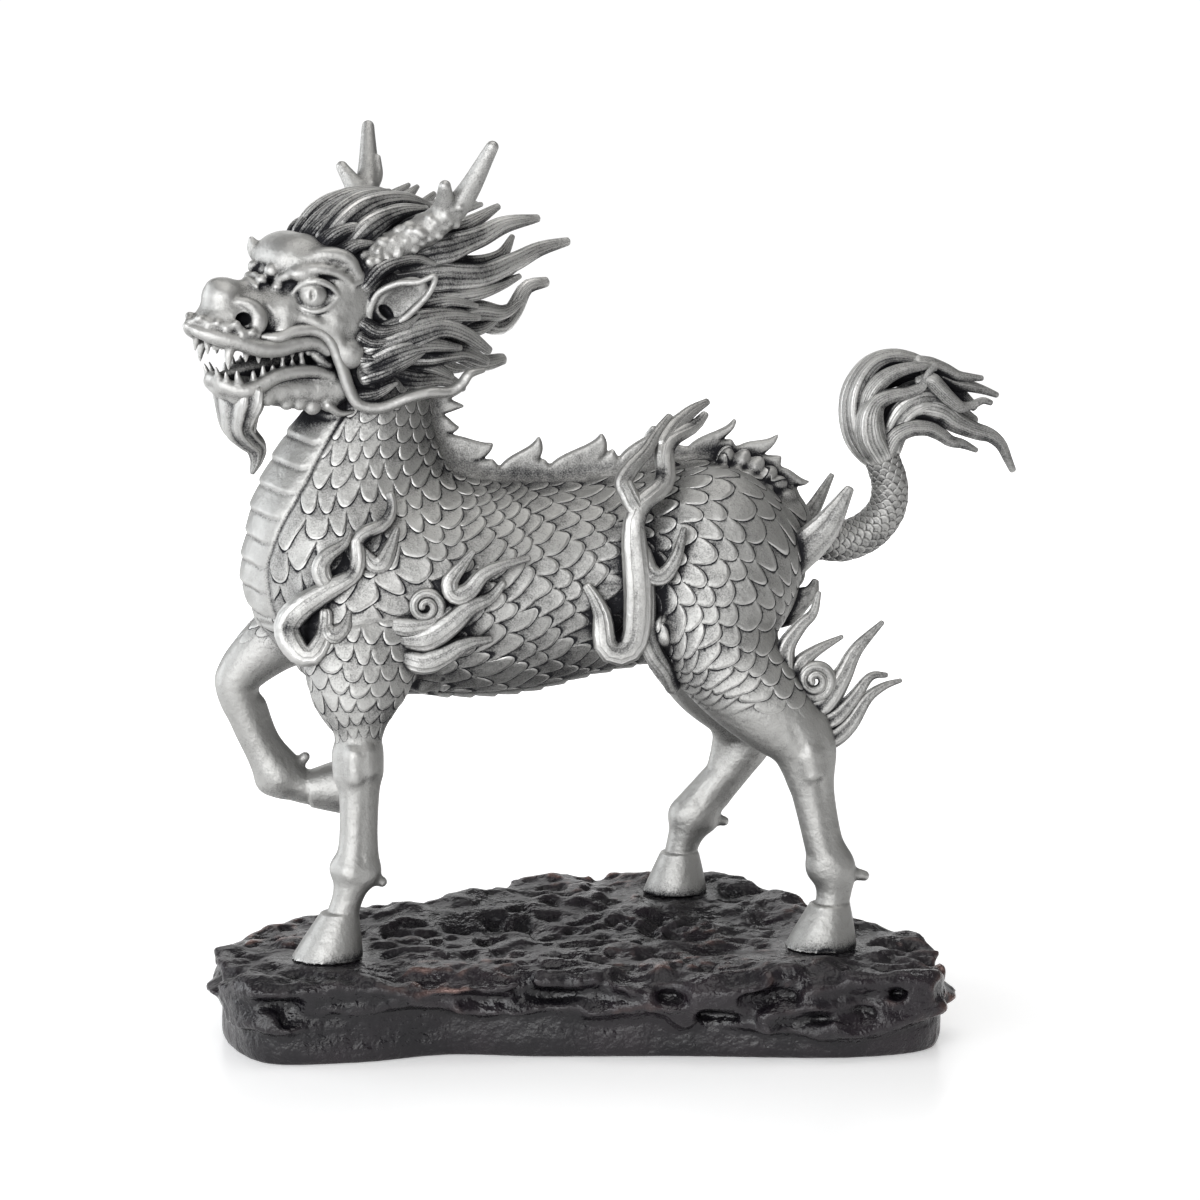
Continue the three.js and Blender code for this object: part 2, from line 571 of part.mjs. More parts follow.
function rockGeometry() {
  const outline = new THREE.CatmullRomCurve3(
    ROCK_OUTLINE.map(([x, y]) => new THREE.Vector3(x, y, 0)), true, 'catmullrom', 0.5);
  const positions = [];
  ROCK_RINGS.forEach(([reach, height], ring) => {
    for (let j = 0; j < ROCK_SIDES; j += 1) {
      const edge = outline.getPoint(j / ROCK_SIDES);
      const x = rockMiddle[0] + edge.x * reach * rockHalf[0];
      const y = rockMiddle[1] + edge.y * reach * rockHalf[1];
      positions.push(x, y, height * (ROCK_HEIGHT + lumps(x, y)));
    }
  });
  const last = ROCK_RINGS.length - 1;
  positions.push(...rockMiddle, 0);
  positions.push(...rockMiddle, ROCK_HEIGHT);
  const foot = ROCK_RINGS.length * ROCK_SIDES;
  const index = [];
  for (let j = 0; j < ROCK_SIDES; j += 1) {
    const k = (j + 1) % ROCK_SIDES;
    for (let ring = 0; ring < last; ring += 1) {
      const a = ring * ROCK_SIDES + j;
      const b = ring * ROCK_SIDES + k;
      index.push(a, b, a + ROCK_SIDES, b, b + ROCK_SIDES, a + ROCK_SIDES);
    }
    index.push(foot, k, j);
    index.push(foot + 1, last * ROCK_SIDES + j, last * ROCK_SIDES + k);
  }
  const geometry = new THREE.BufferGeometry();
  geometry.setAttribute('position', new THREE.Float32BufferAttribute(positions, 3));
  geometry.setIndex(index);
  return geometry;
}

function upright(x, y, bottom, top, radius) {
  const geometry = new THREE.CylinderGeometry(radius, radius, top - bottom, 16);
  geometry.rotateX(Math.PI / 2);
  geometry.translate(x, y, (bottom + top) / 2);
  return solid(geometry);
}

// Each standing hoof has a flat to stand on, and nothing of the rock rises beside it
function makeRock() {
  const stone = solid(rockGeometry());
  const soles = [NEAR_FORE_SOLE, NEAR_HIND_SOLE, FAR_HIND_SOLE];
  return soles.reduce((rock, sole) => {
    const at = soleInModel(sole);
    const radius = sole.size * HUNDREDTH + FLAT_MARGIN;
    const flat = at.z - HOOF_CLEARANCE;
    const post = upright(at.x, at.y, flat / 2, flat, radius);
    const room = upright(at.x, at.y, flat, flat + ROCK_HEIGHT, radius);
    return rock.add(post).subtract(room);
  }, stone);
}

// The group of named meshes

const pewter = new THREE.MeshStandardMaterial({ color: 0x8e8d8a, roughness: 0.42, metalness: 1 });
const darkResin = new THREE.MeshStandardMaterial({ color: 0x1d1715, roughness: 0.3, metalness: 0 });

function named(name, manifold, material) {
  const mesh = new THREE.Mesh(toGeometry(manifold), material);
  mesh.name = name;
  return mesh;
}

const figure = unite([makeBody(), makeLegs(), makeCrest(), makeTail(), makeFlames(), makeHead()]);

const group = new THREE.Group();
group.add(named('qilin', figure, pewter));
group.add(named('rock_base', makeRock(), darkResin));

export default group;
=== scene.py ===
"""Dressed model of the qilin figure: a cast pewter beast on a dark, glossy rock base."""

import math

import bpy
import numpy as np
import openvdb as vdb
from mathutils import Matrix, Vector


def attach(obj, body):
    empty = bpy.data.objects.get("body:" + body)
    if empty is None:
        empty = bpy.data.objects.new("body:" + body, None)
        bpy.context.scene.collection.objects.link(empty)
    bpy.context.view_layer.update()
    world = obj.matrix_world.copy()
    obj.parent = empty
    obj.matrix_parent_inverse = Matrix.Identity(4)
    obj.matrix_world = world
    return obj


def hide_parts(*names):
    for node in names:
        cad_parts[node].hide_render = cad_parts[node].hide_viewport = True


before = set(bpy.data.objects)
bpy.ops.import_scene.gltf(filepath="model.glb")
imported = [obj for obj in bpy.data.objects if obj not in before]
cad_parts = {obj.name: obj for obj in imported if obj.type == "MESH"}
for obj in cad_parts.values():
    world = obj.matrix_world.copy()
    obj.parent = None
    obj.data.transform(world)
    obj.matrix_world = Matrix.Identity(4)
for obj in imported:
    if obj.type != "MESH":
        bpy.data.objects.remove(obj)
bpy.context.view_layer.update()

# Driving sizes, in metres. The figure is drawn in hundredths of its own height, soles at z = 0.
FIGURE_HEIGHT = 0.2
ROCK_HEIGHT = 0.0217
HOOF_CLEARANCE = 0.0003
HUNDREDTH = FIGURE_HEIGHT / 100
SOLE_LEVEL = ROCK_HEIGHT + HOOF_CLEARANCE

# The head's own axes: forward, to the beast's left, and up, from the middle of the skull
HEAD_CENTRE = np.array([-29.9, 0.0, 77.1])
HEAD_YAW = math.radians(30)
HEAD_ROLL = math.radians(-4)

# Camera at the photograph's viewing angle
CAMERA_AZIMUTH = math.radians(-5)
CAMERA_ELEVATION = math.radians(9)
CAMERA_DISTANCE = 0.859
CAMERA_AIM = Vector((0.002, 0.0, 0.1055))
CAMERA_LENS = 102.55
CAMERA_SENSOR = 36
CAMERA_RANGE = 20

# Sides of the figure as seen from the camera, and sides of the head in its own axes
NEAR = -1
FAR = 1
LEFT = 1
RIGHT = -1
ROOT = "root"


def new_object(name, data):
    """An object of the scene that shows the data"""
    made = bpy.data.objects.new(name, data)
    bpy.context.scene.collection.objects.link(made)
    return made


def make_camera():
    back = Vector((
        math.sin(CAMERA_AZIMUTH) * math.cos(CAMERA_ELEVATION),
        -math.cos(CAMERA_AZIMUTH) * math.cos(CAMERA_ELEVATION),
        math.sin(CAMERA_ELEVATION),
    ))
    data = bpy.data.cameras.new("camera")
    data.lens = CAMERA_LENS
    data.sensor_width = CAMERA_SENSOR
    data.clip_end = CAMERA_RANGE
    camera = new_object("camera", data)
    camera.location = CAMERA_AIM + back * CAMERA_DISTANCE
    camera.rotation_euler = (-back).to_track_quat("-Z", "Y").to_euler()
    bpy.context.scene.camera = camera


# Small mathematics

def smoothstep(value, low, high):
    share = np.clip((value - low) / (high - low), 0, 1)
    return share * share * (3 - 2 * share)


def unit(vectors):
    vectors = np.asarray(vectors, float)
    length = np.linalg.norm(vectors, axis=-1, keepdims=True)
    return vectors / np.maximum(length, 1e-9)


def smooth_line(points, per=8):
    """A Catmull-Rom line through the points, with `per` steps to each span"""
    p = np.asarray(points, float)
    p = np.vstack([2 * p[0] - p[1], p, 2 * p[-1] - p[-2]])
    t = (np.arange(per) / per)[:, None]
    spans = []
    for a, b, c, d in zip(p[:-3], p[1:-2], p[2:-1], p[3:]):
        spans.append(0.5 * (
            2 * b + (c - a) * t + (2 * a - 5 * b + 4 * c - d) * t ** 2
            + (3 * b - a - 3 * c + d) * t ** 3))
    spans.append(p[-2][None])
    return np.vstack(spans)


def even_line(points, count):
    """The same smooth line at `count` even steps of its length"""
    line = smooth_line(points, 12)
    length = np.r_[0, np.cumsum(np.linalg.norm(np.diff(line[:, :3], axis=0), axis=1))]
    at = np.linspace(0, length[-1], count)
    return np.stack([np.interp(at, length, column) for column in line.T], axis=1)


def on_side(points, side):
    """A line's points, mirrored across the middle plane for the side -1"""
    return [[p[0], side * p[1], *p[2:]] for p in points]


def head_axes():
    forward = np.array([-math.cos(HEAD_YAW), -math.sin(HEAD_YAW), 0])
    flat_left = np.array([math.sin(HEAD_YAW), -math.cos(HEAD_YAW), 0])
    upright = np.array([0, 0, 1.0])
    left = flat_left * math.cos(HEAD_ROLL) + upright * math.sin(HEAD_ROLL)
    up = upright * math.cos(HEAD_ROLL) - flat_left * math.sin(HEAD_ROLL)
    return np.stack([forward, left, up])


def from_head(points):
    points = np.asarray(points, float)
    return HEAD_CENTRE + points[..., :3] @ head_axes()


def set_on_neck(shell):
    """Moved from the head's own axes to the figure's"""
    points, quads, triangles = shell
    return outward(from_head(points), quads, triangles)


# Tubes: oval rings threaded on a smooth line, as arrays of points and quads

def ring_frames(line, across, facing):
    along = unit(np.gradient(line, axis=0))
    if facing is not None:
        along = np.tile(unit(facing), (len(line), 1))
    across = np.asarray(across, float)
    width_axis = unit(across - (along @ across)[:, None] * along)
    return along, width_axis, np.cross(width_axis, along)


def tube(stations, sides=32, per=6, across=(0, 1, 0), facing=None, bulge=0.6, cap=4, relief=None,
         count=None):
    """Stations are [x, y, z, half depth, half width]: the half width lies along `across`.
    `relief(angle, share)` scales a ring's reach, for grooves and ridges."""
    dense = smooth_line(stations, per) if count is None else even_line(stations, count)
    line = dense[:, :3]
    depth = dense[:, 3]
    width = dense[:, 4] if dense.shape[1] > 4 else depth
    along, width_axis, depth_axis = ring_frames(line, across, facing)
    share = np.linspace(0, 1, len(line))
    if cap:
        angles = (np.arange(1, cap) / cap) * math.pi / 2
        small = min(depth[0], width[0]) * bulge, min(depth[-1], width[-1]) * bulge
        head = [(line[0] - along[0] * small[0] * math.sin(a), math.cos(a)) for a in angles[::-1]]
        tail = [(line[-1] + along[-1] * small[1] * math.sin(a), math.cos(a)) for a in angles]
        line = np.vstack([[p for p, _ in head], line, [p for p, _ in tail]])
        shrink = np.r_[[k for _, k in head], np.ones(len(depth)), [k for _, k in tail]]
        pick = np.r_[np.zeros(cap - 1, int), np.arange(len(depth)), np.full(cap - 1, len(depth) - 1)]
        depth, width, share = depth[pick] * shrink, width[pick] * shrink, share[pick]
        along, width_axis, depth_axis = along[pick], width_axis[pick], depth_axis[pick]
        ends = [line[0] - along[0] * small[0] * (1 - math.sin(angles[-1])),
                line[-1] + along[-1] * small[1] * (1 - math.sin(angles[-1]))]
    else:
        ends = [line[0], line[-1]]
    angle = 2 * math.pi * (np.arange(sides) + 0.5) / sides
    reach = np.ones((len(line), sides))
    if relief is not None:
        reach = relief(angle[None, :], share[:, None])
    points = (
        line[:, None]
        + depth_axis[:, None] * (np.cos(angle) * reach * depth[:, None])[..., None]
        + width_axis[:, None] * (np.sin(angle) * reach * width[:, None])[..., None])
    rings = len(line)
    points = np.vstack([points.reshape(-1, 3), ends])
    i = np.arange(rings - 1)[:, None] * sides
    j = np.arange(sides)[None, :]
    k = (j + 1) % sides
    quads = np.stack([i + j, i + k, i + sides + k, i + sides + j], axis=-1).reshape(-1, 4)
    j, k = j[0], k[0]
    first = np.full(sides, rings * sides)
    last = first + 1
    top = (rings - 1) * sides
    caps = [np.stack([first, k, j], axis=1), np.stack([last, top + j, top + k], axis=1)]
    return outward(points, quads, np.vstack(caps))


def outward(points, quads, triangles):
    """Turns a closed shell so that its faces point out"""
    corners = np.vstack([quads[:, [0, 1, 2]], quads[:, [0, 2, 3]], triangles])
    a, b, c = (points[corners[:, n]] for n in range(3))
    if np.einsum("ij,ij->", a, np.cross(b, c)) < 0:
        quads, triangles = quads[:, ::-1], triangles[:, ::-1]
    return points, quads, triangles


def join(shells):
    """One shell of many"""
    start = 0
    points, quads, triangles = [], [], []
    for p, q, t in shells:
        points.append(p)
        quads.append(q + start)
        triangles.append(t + start)
        start += len(p)
    return np.vstack(points), np.vstack(quads), np.vstack(triangles)


# Fields: distances on a regular grid, in hundredths, negative inside

# Distances are true within this many steps of a surface
BAND = 9


def smooth_min(a, b, blend):
    """The smaller of two distances, rounded over where they are closer than `blend`"""
    if blend <= 0:
        return np.minimum(a, b)
    share = np.clip(0.5 + 0.5 * (b - a) / blend, 0, 1)
    return b + (a - b) * share - blend * share * (1 - share)


def level_set(shell, step, band):
    """A closed shell's distances, true within `band` steps of it"""
    points, quads, triangles = shell
    return vdb.FloatGrid.createLevelSetFromPolygons(
        points.astype(np.float64), triangles=triangles.astype(np.uint32), quads=quads.astype(np.uint32),
        transform=vdb.createLinearTransform(voxelSize=step), halfWidth=float(band))


class Field:
    """A grid of distances that shapes are merged into or carved out of"""

    def __init__(self, low, high, step):
        self.step = step
        self.start = np.floor(np.asarray(low) / step).astype(int)
        stop = np.ceil(np.asarray(high) / step).astype(int)
        self.far = BAND * step
        self.values = np.full(tuple(stop - self.start + 1), self.far, np.float32)

    def window(self, low, high):
        """The part of the grid between two corners: its slices and its coordinates"""
        a = np.floor(np.asarray(low) / self.step).astype(int) - self.start
        b = np.ceil(np.asarray(high) / self.step).astype(int) - self.start + 1
        a = np.clip(a, 0, self.values.shape)
        b = np.clip(b, 0, self.values.shape)
        part = tuple(slice(m, n) for m, n in zip(a, b))
        axes = [(np.arange(m, n) + s) * self.step for m, n, s in zip(a, b, self.start)]
        x, y, z = np.meshgrid(*axes, indexing="ij", sparse=True)
        return part, x, y, z

    def merge(self, part, distance, blend, carve=False):
        old = self.values[part]
        if old.size == 0:
            return
        if carve:
            self.values[part] = -smooth_min(-old, distance.astype(np.float32), blend)
        else:
            self.values[part] = smooth_min(old, distance.astype(np.float32), blend)

    def shell(self, shell, blend=0.0):
        grid = level_set(shell, self.step, BAND)
        low, high = (np.array(corner) for corner in grid.evalActiveVoxelBoundingBox())
        low = np.maximum(low, self.start)
        high = np.minimum(high, self.start + self.values.shape - 1)
        block = np.empty(tuple(high - low + 1), np.float32)
        grid.copyToArray(block, ijk=tuple(int(v) for v in low))
        a = low - self.start
        part = tuple(slice(m, m + n) for m, n in zip(a, block.shape))
        self.merge(part, block, blend)

    def plate(self, outline, half, rounding, blend=0.0):
        """A flat plate in the plane y = 0 within a closed outline of [x, z], with rounded edges"""
        outline = np.asarray(outline, float)
        reach = half + rounding + self.far
        low = [outline[:, 0].min() - self.far, -reach, outline[:, 1].min() - self.far]
        high = [outline[:, 0].max() + self.far, reach, outline[:, 1].max() + self.far]
        part, x, y, z = self.window(low, high)
        inside = np.zeros(np.broadcast(x[:, 0, :], z[:, 0, :]).shape, bool)
        nearest = np.full(inside.shape, np.inf)
        across, up = x[:, 0, :], z[:, 0, :]
        for (ax, az), (bx, bz) in zip(outline, np.roll(outline, -1, axis=0)):
            dx, dz = bx - ax, bz - az
            size = max(dx * dx + dz * dz, 1e-9)
            t = np.clip(((across - ax) * dx + (up - az) * dz) / size, 0, 1)
            nearest = np.minimum(nearest, (across - ax - t * dx) ** 2 + (up - az - t * dz) ** 2)
            crosses = (az > up) != (bz > up)
            inside ^= crosses & (across < ax + (up - az) * dx / (dz if dz else 1e-9))
        flat = np.where(inside, -1, 1) * np.sqrt(nearest) + rounding
        flat = flat[:, None, :]
        thick = np.abs(y) - (half - rounding)
        outside = np.hypot(np.maximum(flat, 0), np.maximum(thick, 0))
        distance = outside + np.minimum(np.maximum(flat, thick), 0)
        self.merge(part, distance - rounding, blend)

    def chain(self, points, blend=0.0, carve=False, per=6):
        """A rounded line of changing thickness through [x, y, z, radius]"""
        dense = smooth_line(points, per) if len(points) > 2 else np.asarray(points, float)
        pad = self.far
        low = (dense[:, :3] - dense[:, 3:4]).min(axis=0) - pad
        high = (dense[:, :3] + dense[:, 3:4]).max(axis=0) + pad
        part, x, y, z = self.window(low, high)
        best = np.inf
        for a, b in zip(dense[:-1], dense[1:]):
            best = np.minimum(best, self.segment(x, y, z, a, b))
        self.merge(part, best, blend, carve)

    @staticmethod
    def segment(x, y, z, a, b):
        d = b[:3] - a[:3]
        along = ((x - a[0]) * d[0] + (y - a[1]) * d[1] + (z - a[2]) * d[2]) / max(d @ d, 1e-9)
        t = np.clip(along, 0, 1)
        off = np.sqrt(
            (x - a[0] - t * d[0]) ** 2 + (y - a[1] - t * d[1]) ** 2 + (z - a[2] - t * d[2]) ** 2)
        return off - (a[3] + (b[3] - a[3]) * t)

    def oval(self, centre, radii, blend=0.0, carve=False, axes=None):
        """An ellipsoid, its radii along `axes`, which are rows of unit vectors"""
        centre = np.asarray(centre, float)
        radii = np.asarray(radii, float)
        axes = np.eye(3) if axes is None else np.asarray(axes, float)
        reach = np.sqrt(((axes * radii[:, None]) ** 2).sum(axis=0)) + self.far
        part, x, y, z = self.window(centre - reach, centre + reach)
        x, y, z = x - centre[0], y - centre[1], z - centre[2]
        one = two = 0
        for axis, radius in zip(axes, radii):
            component = x * axis[0] + y * axis[1] + z * axis[2]
            one = one + (component / radius) ** 2
            two = two + (component / radius ** 2) ** 2
        one = np.sqrt(one)
        self.merge(part, one * (one - 1) / np.maximum(np.sqrt(two), 1e-6), blend, carve)

    def soften(self, passes):
        """Averages each value with its neighbours' along the three axes"""
        v = self.values
        for _ in range(passes):
            for axis in range(3):
                low, mid, high = ([slice(None)] * 3 for _ in range(3))
                low[axis], mid[axis], high[axis] = slice(0, -2), slice(1, -1), slice(2, None)
                v[tuple(mid)] = (
                    0.25 * v[tuple(low)] + 0.5 * v[tuple(mid)] + 0.25 * v[tuple(high)])

    def mesh(self):
        """The shell at distance 0"""
        np.clip(self.values, -self.far, self.far, out=self.values)
        grid = vdb.FloatGrid(self.far)
        grid.copyFromArray(self.values, ijk=tuple(int(v) for v in self.start), tolerance=0.0)
        grid.transform = vdb.createLinearTransform(voxelSize=self.step)
        points, triangles, quads = grid.convertToPolygons(0.0, 0.0)
        triangles = triangles.astype(int).reshape(-1, 3)
        return outward(points.astype(float), quads.astype(int), triangles)


def vertex_normals(shell):
    points, quads, triangles = shell
    normals = np.zeros_like(points)
    for corners in (quads, triangles):
        if len(corners):
            first = points[corners[:, 2]] - points[corners[:, 0]]
            second = points[corners[:, -1]] - points[corners[:, 1]]
            face = np.cross(first, second)
            for n in range(corners.shape[1]):
                for axis in range(3):
                    normals[:, axis] += np.bincount(
                        corners[:, n], weights=face[:, axis], minlength=len(points))
    return unit(normals)


def mesh_edges(shell):
    _, quads, triangles = shell
    pairs = [quads[:, [n, (n + 1) % 4]] for n in range(4)]
    pairs += [triangles[:, [n, (n + 1) % 3]] for n in range(3)]
    return np.vstack(pairs)


def spread(values, edges, passes):
    """Averages a per-point value with its neighbours' """
    values = np.asarray(values, float)
    flat = values.reshape(len(values), -1)
    count = np.bincount(edges.ravel(), minlength=len(flat))[:, None]
    for _ in range(passes):
        total = np.zeros_like(flat)
        for column in range(flat.shape[1]):
            total[:, column] = np.bincount(
                edges[:, 0], weights=flat[edges[:, 1], column], minlength=len(flat))
            total[:, column] += np.bincount(
                edges[:, 1], weights=flat[edges[:, 0], column], minlength=len(flat))
        flat = 0.5 * flat + 0.5 * total / np.maximum(count, 1)
    return flat.reshape(values.shape)


# Body

TRUNK = [
    [27.5, 0, 49, 3, 3], [25, 0, 49, 6.4, 6.4], [21, 0, 48.2, 10.2, 10.2], [14, 0, 47.2, 12.3, 12],
    [6, 0, 45.8, 11.9, 12], [-2, 0, 44.6, 12.2, 12.2], [-10, 0, 43.7, 13.3, 12.8],
    [-18, 0, 43.9, 13.8, 13.2], [-26, 0, 44.8, 13.6, 13.2], [-33, 0, 45.4, 12, 10],
    [-38.5, 0, 46.4, 8.4, 7], [-41.2, 0, 47, 4.4, 3.6],
]
NECK = [
    [-29.5, 0, 34.5, 7.6, 7], [-29, 0, 38.5, 11.6, 10], [-29.1, 0, 43, 13.3, 11.3],
    [-29.8, 0, 48.9, 13.2, 10.8], [-29.3, 0, 54.4, 12.6, 9.2], [-28.7, 0, 60, 10.4, 7.5],
    [-28, 0, 65.2, 7.8, 6.5], [-27.5, 0, 71, 6.7, 6.2], [-27.5, 0, 76, 6, 5.8],
]
HAUNCH_CENTRE = np.array([14.6, 6.2, 46.3])
HAUNCH_RADII = [10, 7.6, 12.6]
NEAR_FORE_LEG = [
    [-28.6, -7.5, 45, 8.4, 5.5], [-29.2, -10, 37.4, 7.3, 4.9], [-29.7, -11, 31.6, 5.5, 4.3],
    [-29.6, -11.5, 27.4, 2.9, 2.9], [-29.7, -12, 23.6, 2.75, 2.7], [-29.9, -12.5, 19.4, 2.2, 2.1],
    [-30.1, -12.8, 14.4, 2.1, 2], [-30.4, -13, 10.7, 2.5, 2.3], [-31.2, -13.1, 7.4, 1.9, 2],
    [-32.1, -13.2, 4.6, 1.9, 2],
]
FAR_FORE_LEG = [
    [-29.5, 7.5, 45, 7.5, 5.5], [-34.5, 8.5, 39, 5.2, 4.2], [-40.6, 9, 35, 3.8, 3.4],
    [-44.6, 9.5, 30.6, 2.9, 2.8], [-43.5, 9.5, 25.6, 2.3, 2.3], [-41.6, 9.5, 21.4, 2.3, 2.2],
    [-39.6, 9.5, 18.1, 2.8, 2.7], [-37.4, 9.5, 16.9, 2.3, 2.2], [-35.4, 9.5, 16.3, 2.2, 2.1],
    [-33.4, 9.5, 16.3, 2.2, 2.1],
]
NEAR_HIND_LEG = [
    [14.6, -8, 44, 8.4, 6], [14.6, -9.5, 38.8, 7.3, 5.4], [17, -10.8, 34.2, 6.3, 4.8],
    [20.6, -11.8, 30, 5.3, 4.2], [24.2, -12.4, 26.2, 4.1, 3.3], [25.6, -12.6, 22.8, 3.1, 2.7],
    [26.3, -12.8, 18.4, 2.4, 2.3], [27.4, -13, 13.3, 2.25, 2.3], [28.8, -13, 9.8, 2.9, 2.6],
    [29, -13.1, 6.8, 2.2, 2.1], [28.5, -13.2, 4.2, 2, 2.1],
]
FAR_HIND_LEG = [
    [14.4, 8, 44, 8, 6], [13.4, 9.3, 36.6, 7, 5], [15.6, 10.5, 30, 5.2, 4.2],
    [19.6, 11.2, 25.4, 4.2, 3.6], [21.6, 11.5, 21.8, 3.3, 3], [19.6, 11.9, 18, 2.6, 2.5],
    [16.6, 12.3, 14.4, 2.6, 2.4], [14.5, 12.5, 11.2, 3, 2.7], [13.2, 12.6, 8, 2.2, 2.2],
    [12.6, 12.7, 5.4, 2.1, 2.1],
]
ELBOW_FOLD = [[-22.6, 7.6, 38.4, 1.9], [-21.2, 7, 34.8, 1.7], [-21.6, 6.6, 32.6, 1.1]]
# Rim, sole, their radii, and the way the sole faces
HOOVES = [
    ([-32.2, -13.2, 5.6], [-33.8, -13.2, 0], 2.3, 4.4, (0, 0, -1)),
    ([28.5, -13.2, 5.4], [27.4, -13.2, 0], 2.5, 4.5, (0, 0, -1)),
    ([12.6, 12.7, 6.2], [12, 12.7, 1], 2.5, 4.2, (0, 0, -1)),
    ([-35.7, 9.5, 16.2], [-30.2, 9.5, 16.5], 2.4, 3.9, (1, 0, 0.05)),
]
# Root and tip of the spur behind each fetlock
SPURS = [
    ([-29.2, -13, 10.2], [-27, -13, 9.2]), ([30.2, -13, 9.3], [32.8, -13, 8.7]),
    ([16, 12.5, 10.8], [18.4, 12.5, 10.2]), ([-38, 9.5, 18.6], [-36.2, 9.5, 20.4]),
]
BODY_STEP = 0.22
BODY_BLEND = 1.9


def hoof(rim, sole, rim_size, sole_size, facing):
    """Flares from its rim to a flat sole"""
    rim, sole = np.array(rim, float), np.array(sole, float)
    stations = []
    for share in np.linspace(0, 1, 5):
        size = rim_size + (sole_size - rim_size) * (share + 0.12 * share * (1 - share))
        stations.append([*(rim + (sole - rim) * share), size, size * (0.95 - 0.03 * share)])
    return tube(stations, sides=48, per=3, facing=facing, bulge=0, cap=0)


def limb_details(body):
    """Bones and tendons that show through the skin of the four legs"""
    for points in [
        # near foreleg: knee, tendon behind the shin, fetlock
        [[-30.9, -11.9, 25, 2.0], [-31, -12.1, 22.6, 1.8]],
        [[-28.3, -11.8, 25.2, 1.6], [-28.2, -12, 23, 1.5]],
        [[-30.2, -14.3, 25.4, 1.1], [-30.2, -14.3, 22.6, 1.0]],
        [[-28.6, -14, 25.6, 0.9], [-28.5, -14, 23.4, 0.9]],
        [[-28.2, -12.2, 22.4, 1.1], [-28.4, -12.7, 16, 0.95], [-28.6, -12.9, 11.4, 1.3]],
        [[-31.9, -13, 11, 1.5], [-29, -13, 10.4, 1.9]],
        [[-31, -14.4, 10.8, 1], [-31, -11.8, 10.8, 1]],
        # near hind leg: hock, its cap and tendon, fetlock
        [[26.6, -12.4, 28, 1.7], [27.6, -12.6, 24.6, 1.6], [27.7, -12.8, 20, 1.1], [29, -13, 12, 1.1]],
        [[7.4, -12.4, 40.6, 1.2], [7.8, -12.6, 39.2, 1.2]],
        [[23.6, -12.4, 24.6, 1.9], [24.8, -12.6, 21, 1.6]],
        [[25.6, -14.6, 24.6, 1.3], [26, -14.8, 22, 1]],
        [[27.4, -13, 10, 1.9], [29.2, -13, 9.7, 1.8]],
        # far hind leg
        [[22.8, 11.4, 23.4, 1.7], [21.8, 11.6, 19.6, 1.3], [17.8, 12.2, 13.4, 1.2]],
        [[18.6, 11.4, 22, 1.8], [17.6, 11.8, 18.6, 1.3]],
        [[13, 12.5, 11.2, 1.9], [16, 12.5, 10.6, 1.7]],
        # far foreleg: knee, tendon under the shin, fetlock
        [[-45.2, 9.5, 30.6, 2], [-44.6, 9.5, 27.6, 1.7]],
        [[-42, 9.5, 27.4, 1], [-40.4, 9.5, 23, 0.9], [-38.4, 9.5, 20, 1.2]],
        [[-40.8, 9.5, 17.4, 1.7], [-38, 9.5, 18.6, 1.6]],
    ]:
        body.chain(points, 0.9)
    # grooves between bone and tendon, and folds where a limb leaves the body
    for points in [
        [[-28.9, -14.9, 22, 0.3], [-29.1, -14.8, 17, 0.4], [-29.4, -15, 12.4, 0.3]],
        [[-30.4, -15, 28.6, 0.3], [-29.9, -14.9, 26.6, 0.35]],
        [[26.9, -15.2, 21, 0.3], [28.2, -15.4, 16, 0.4], [29.3, -15.6, 11.8, 0.3]],
        [[23.2, -16, 28, 0.35], [24.6, -15.8, 25, 0.3]],
        [[-42.2, 6.9, 26, 0.3], [-40.4, 6.9, 21.6, 0.4]],
        [[16.4, 9.8, 17.6, 0.4], [14.6, 10, 13.4, 0.3]],
        [[26.9, -15.5, 21, 0.7], [27.6, -15.6, 17.4, 0.7], [28.5, -15.7, 12.6, 0.6]],
    ]:
        body.chain(points, 0.5, carve=True)
    for side in (NEAR, FAR):
        body.chain(on_side(ELBOW_FOLD, side), 0.6)


def body_field():
    body = Field([-50, -17, -1], [36, 17, 79], BODY_STEP)
    body.shell(tube(TRUNK, sides=96, per=8))
    body.shell(tube(NECK, sides=96, per=8), BODY_BLEND)
    for side in (NEAR, FAR):
        body.oval(HAUNCH_CENTRE * [1, side, 1], HAUNCH_RADII, BODY_BLEND)
    for leg in (NEAR_FORE_LEG, FAR_FORE_LEG, NEAR_HIND_LEG, FAR_HIND_LEG):
        body.shell(tube(leg, sides=64, per=8), BODY_BLEND)
    limb_details(body)
    body.soften(2)
    crest_into(body)
    body.soften(1)
    for measures in HOOVES:
        body.shell(hoof(*measures), 0.25)
    for root, tip in SPURS:
        body.chain([[*root, 1.0], [*tip, 0.65]], 0.4)
    return body


# Lattices that the scales lie on: rows run back from the head or down a limb, columns round it

SCALE_ASPECT = 0.78
BODY_COLUMNS = 26
BEND = np.array([-8.0, 66.0])
BEND_RADIUS = 24.0
HAUNCH_PIVOT = np.array([5.0, 28.0])
HAUNCH_REACH = 22.0
HAUNCH_ANGLES = [0, 1, 1.57, 1.9]
# Radius of a limb, width of its scales, and pitch of their rows
FORELEG_SCALES = (6.2, 3.0, 1.9)
TAIL_SCALES = (2.35, 1.3, 0.72)
# A scale's free edge reaches this share of a row, and rises over this many rows
SCALE_REACH = 0.96
SCALE_OVERLAP = 1.5
PLATE_PITCH_NECK = 3.05
PLATE_PITCH_BELLY = 2.9
SCALE_RISE = 0.2
TAIL_SCALE_RISE = 0.17
PLATE_RISE = 0.42
SEAM_DEPTH = 0.22
UNEVEN_ROWS = 0.13
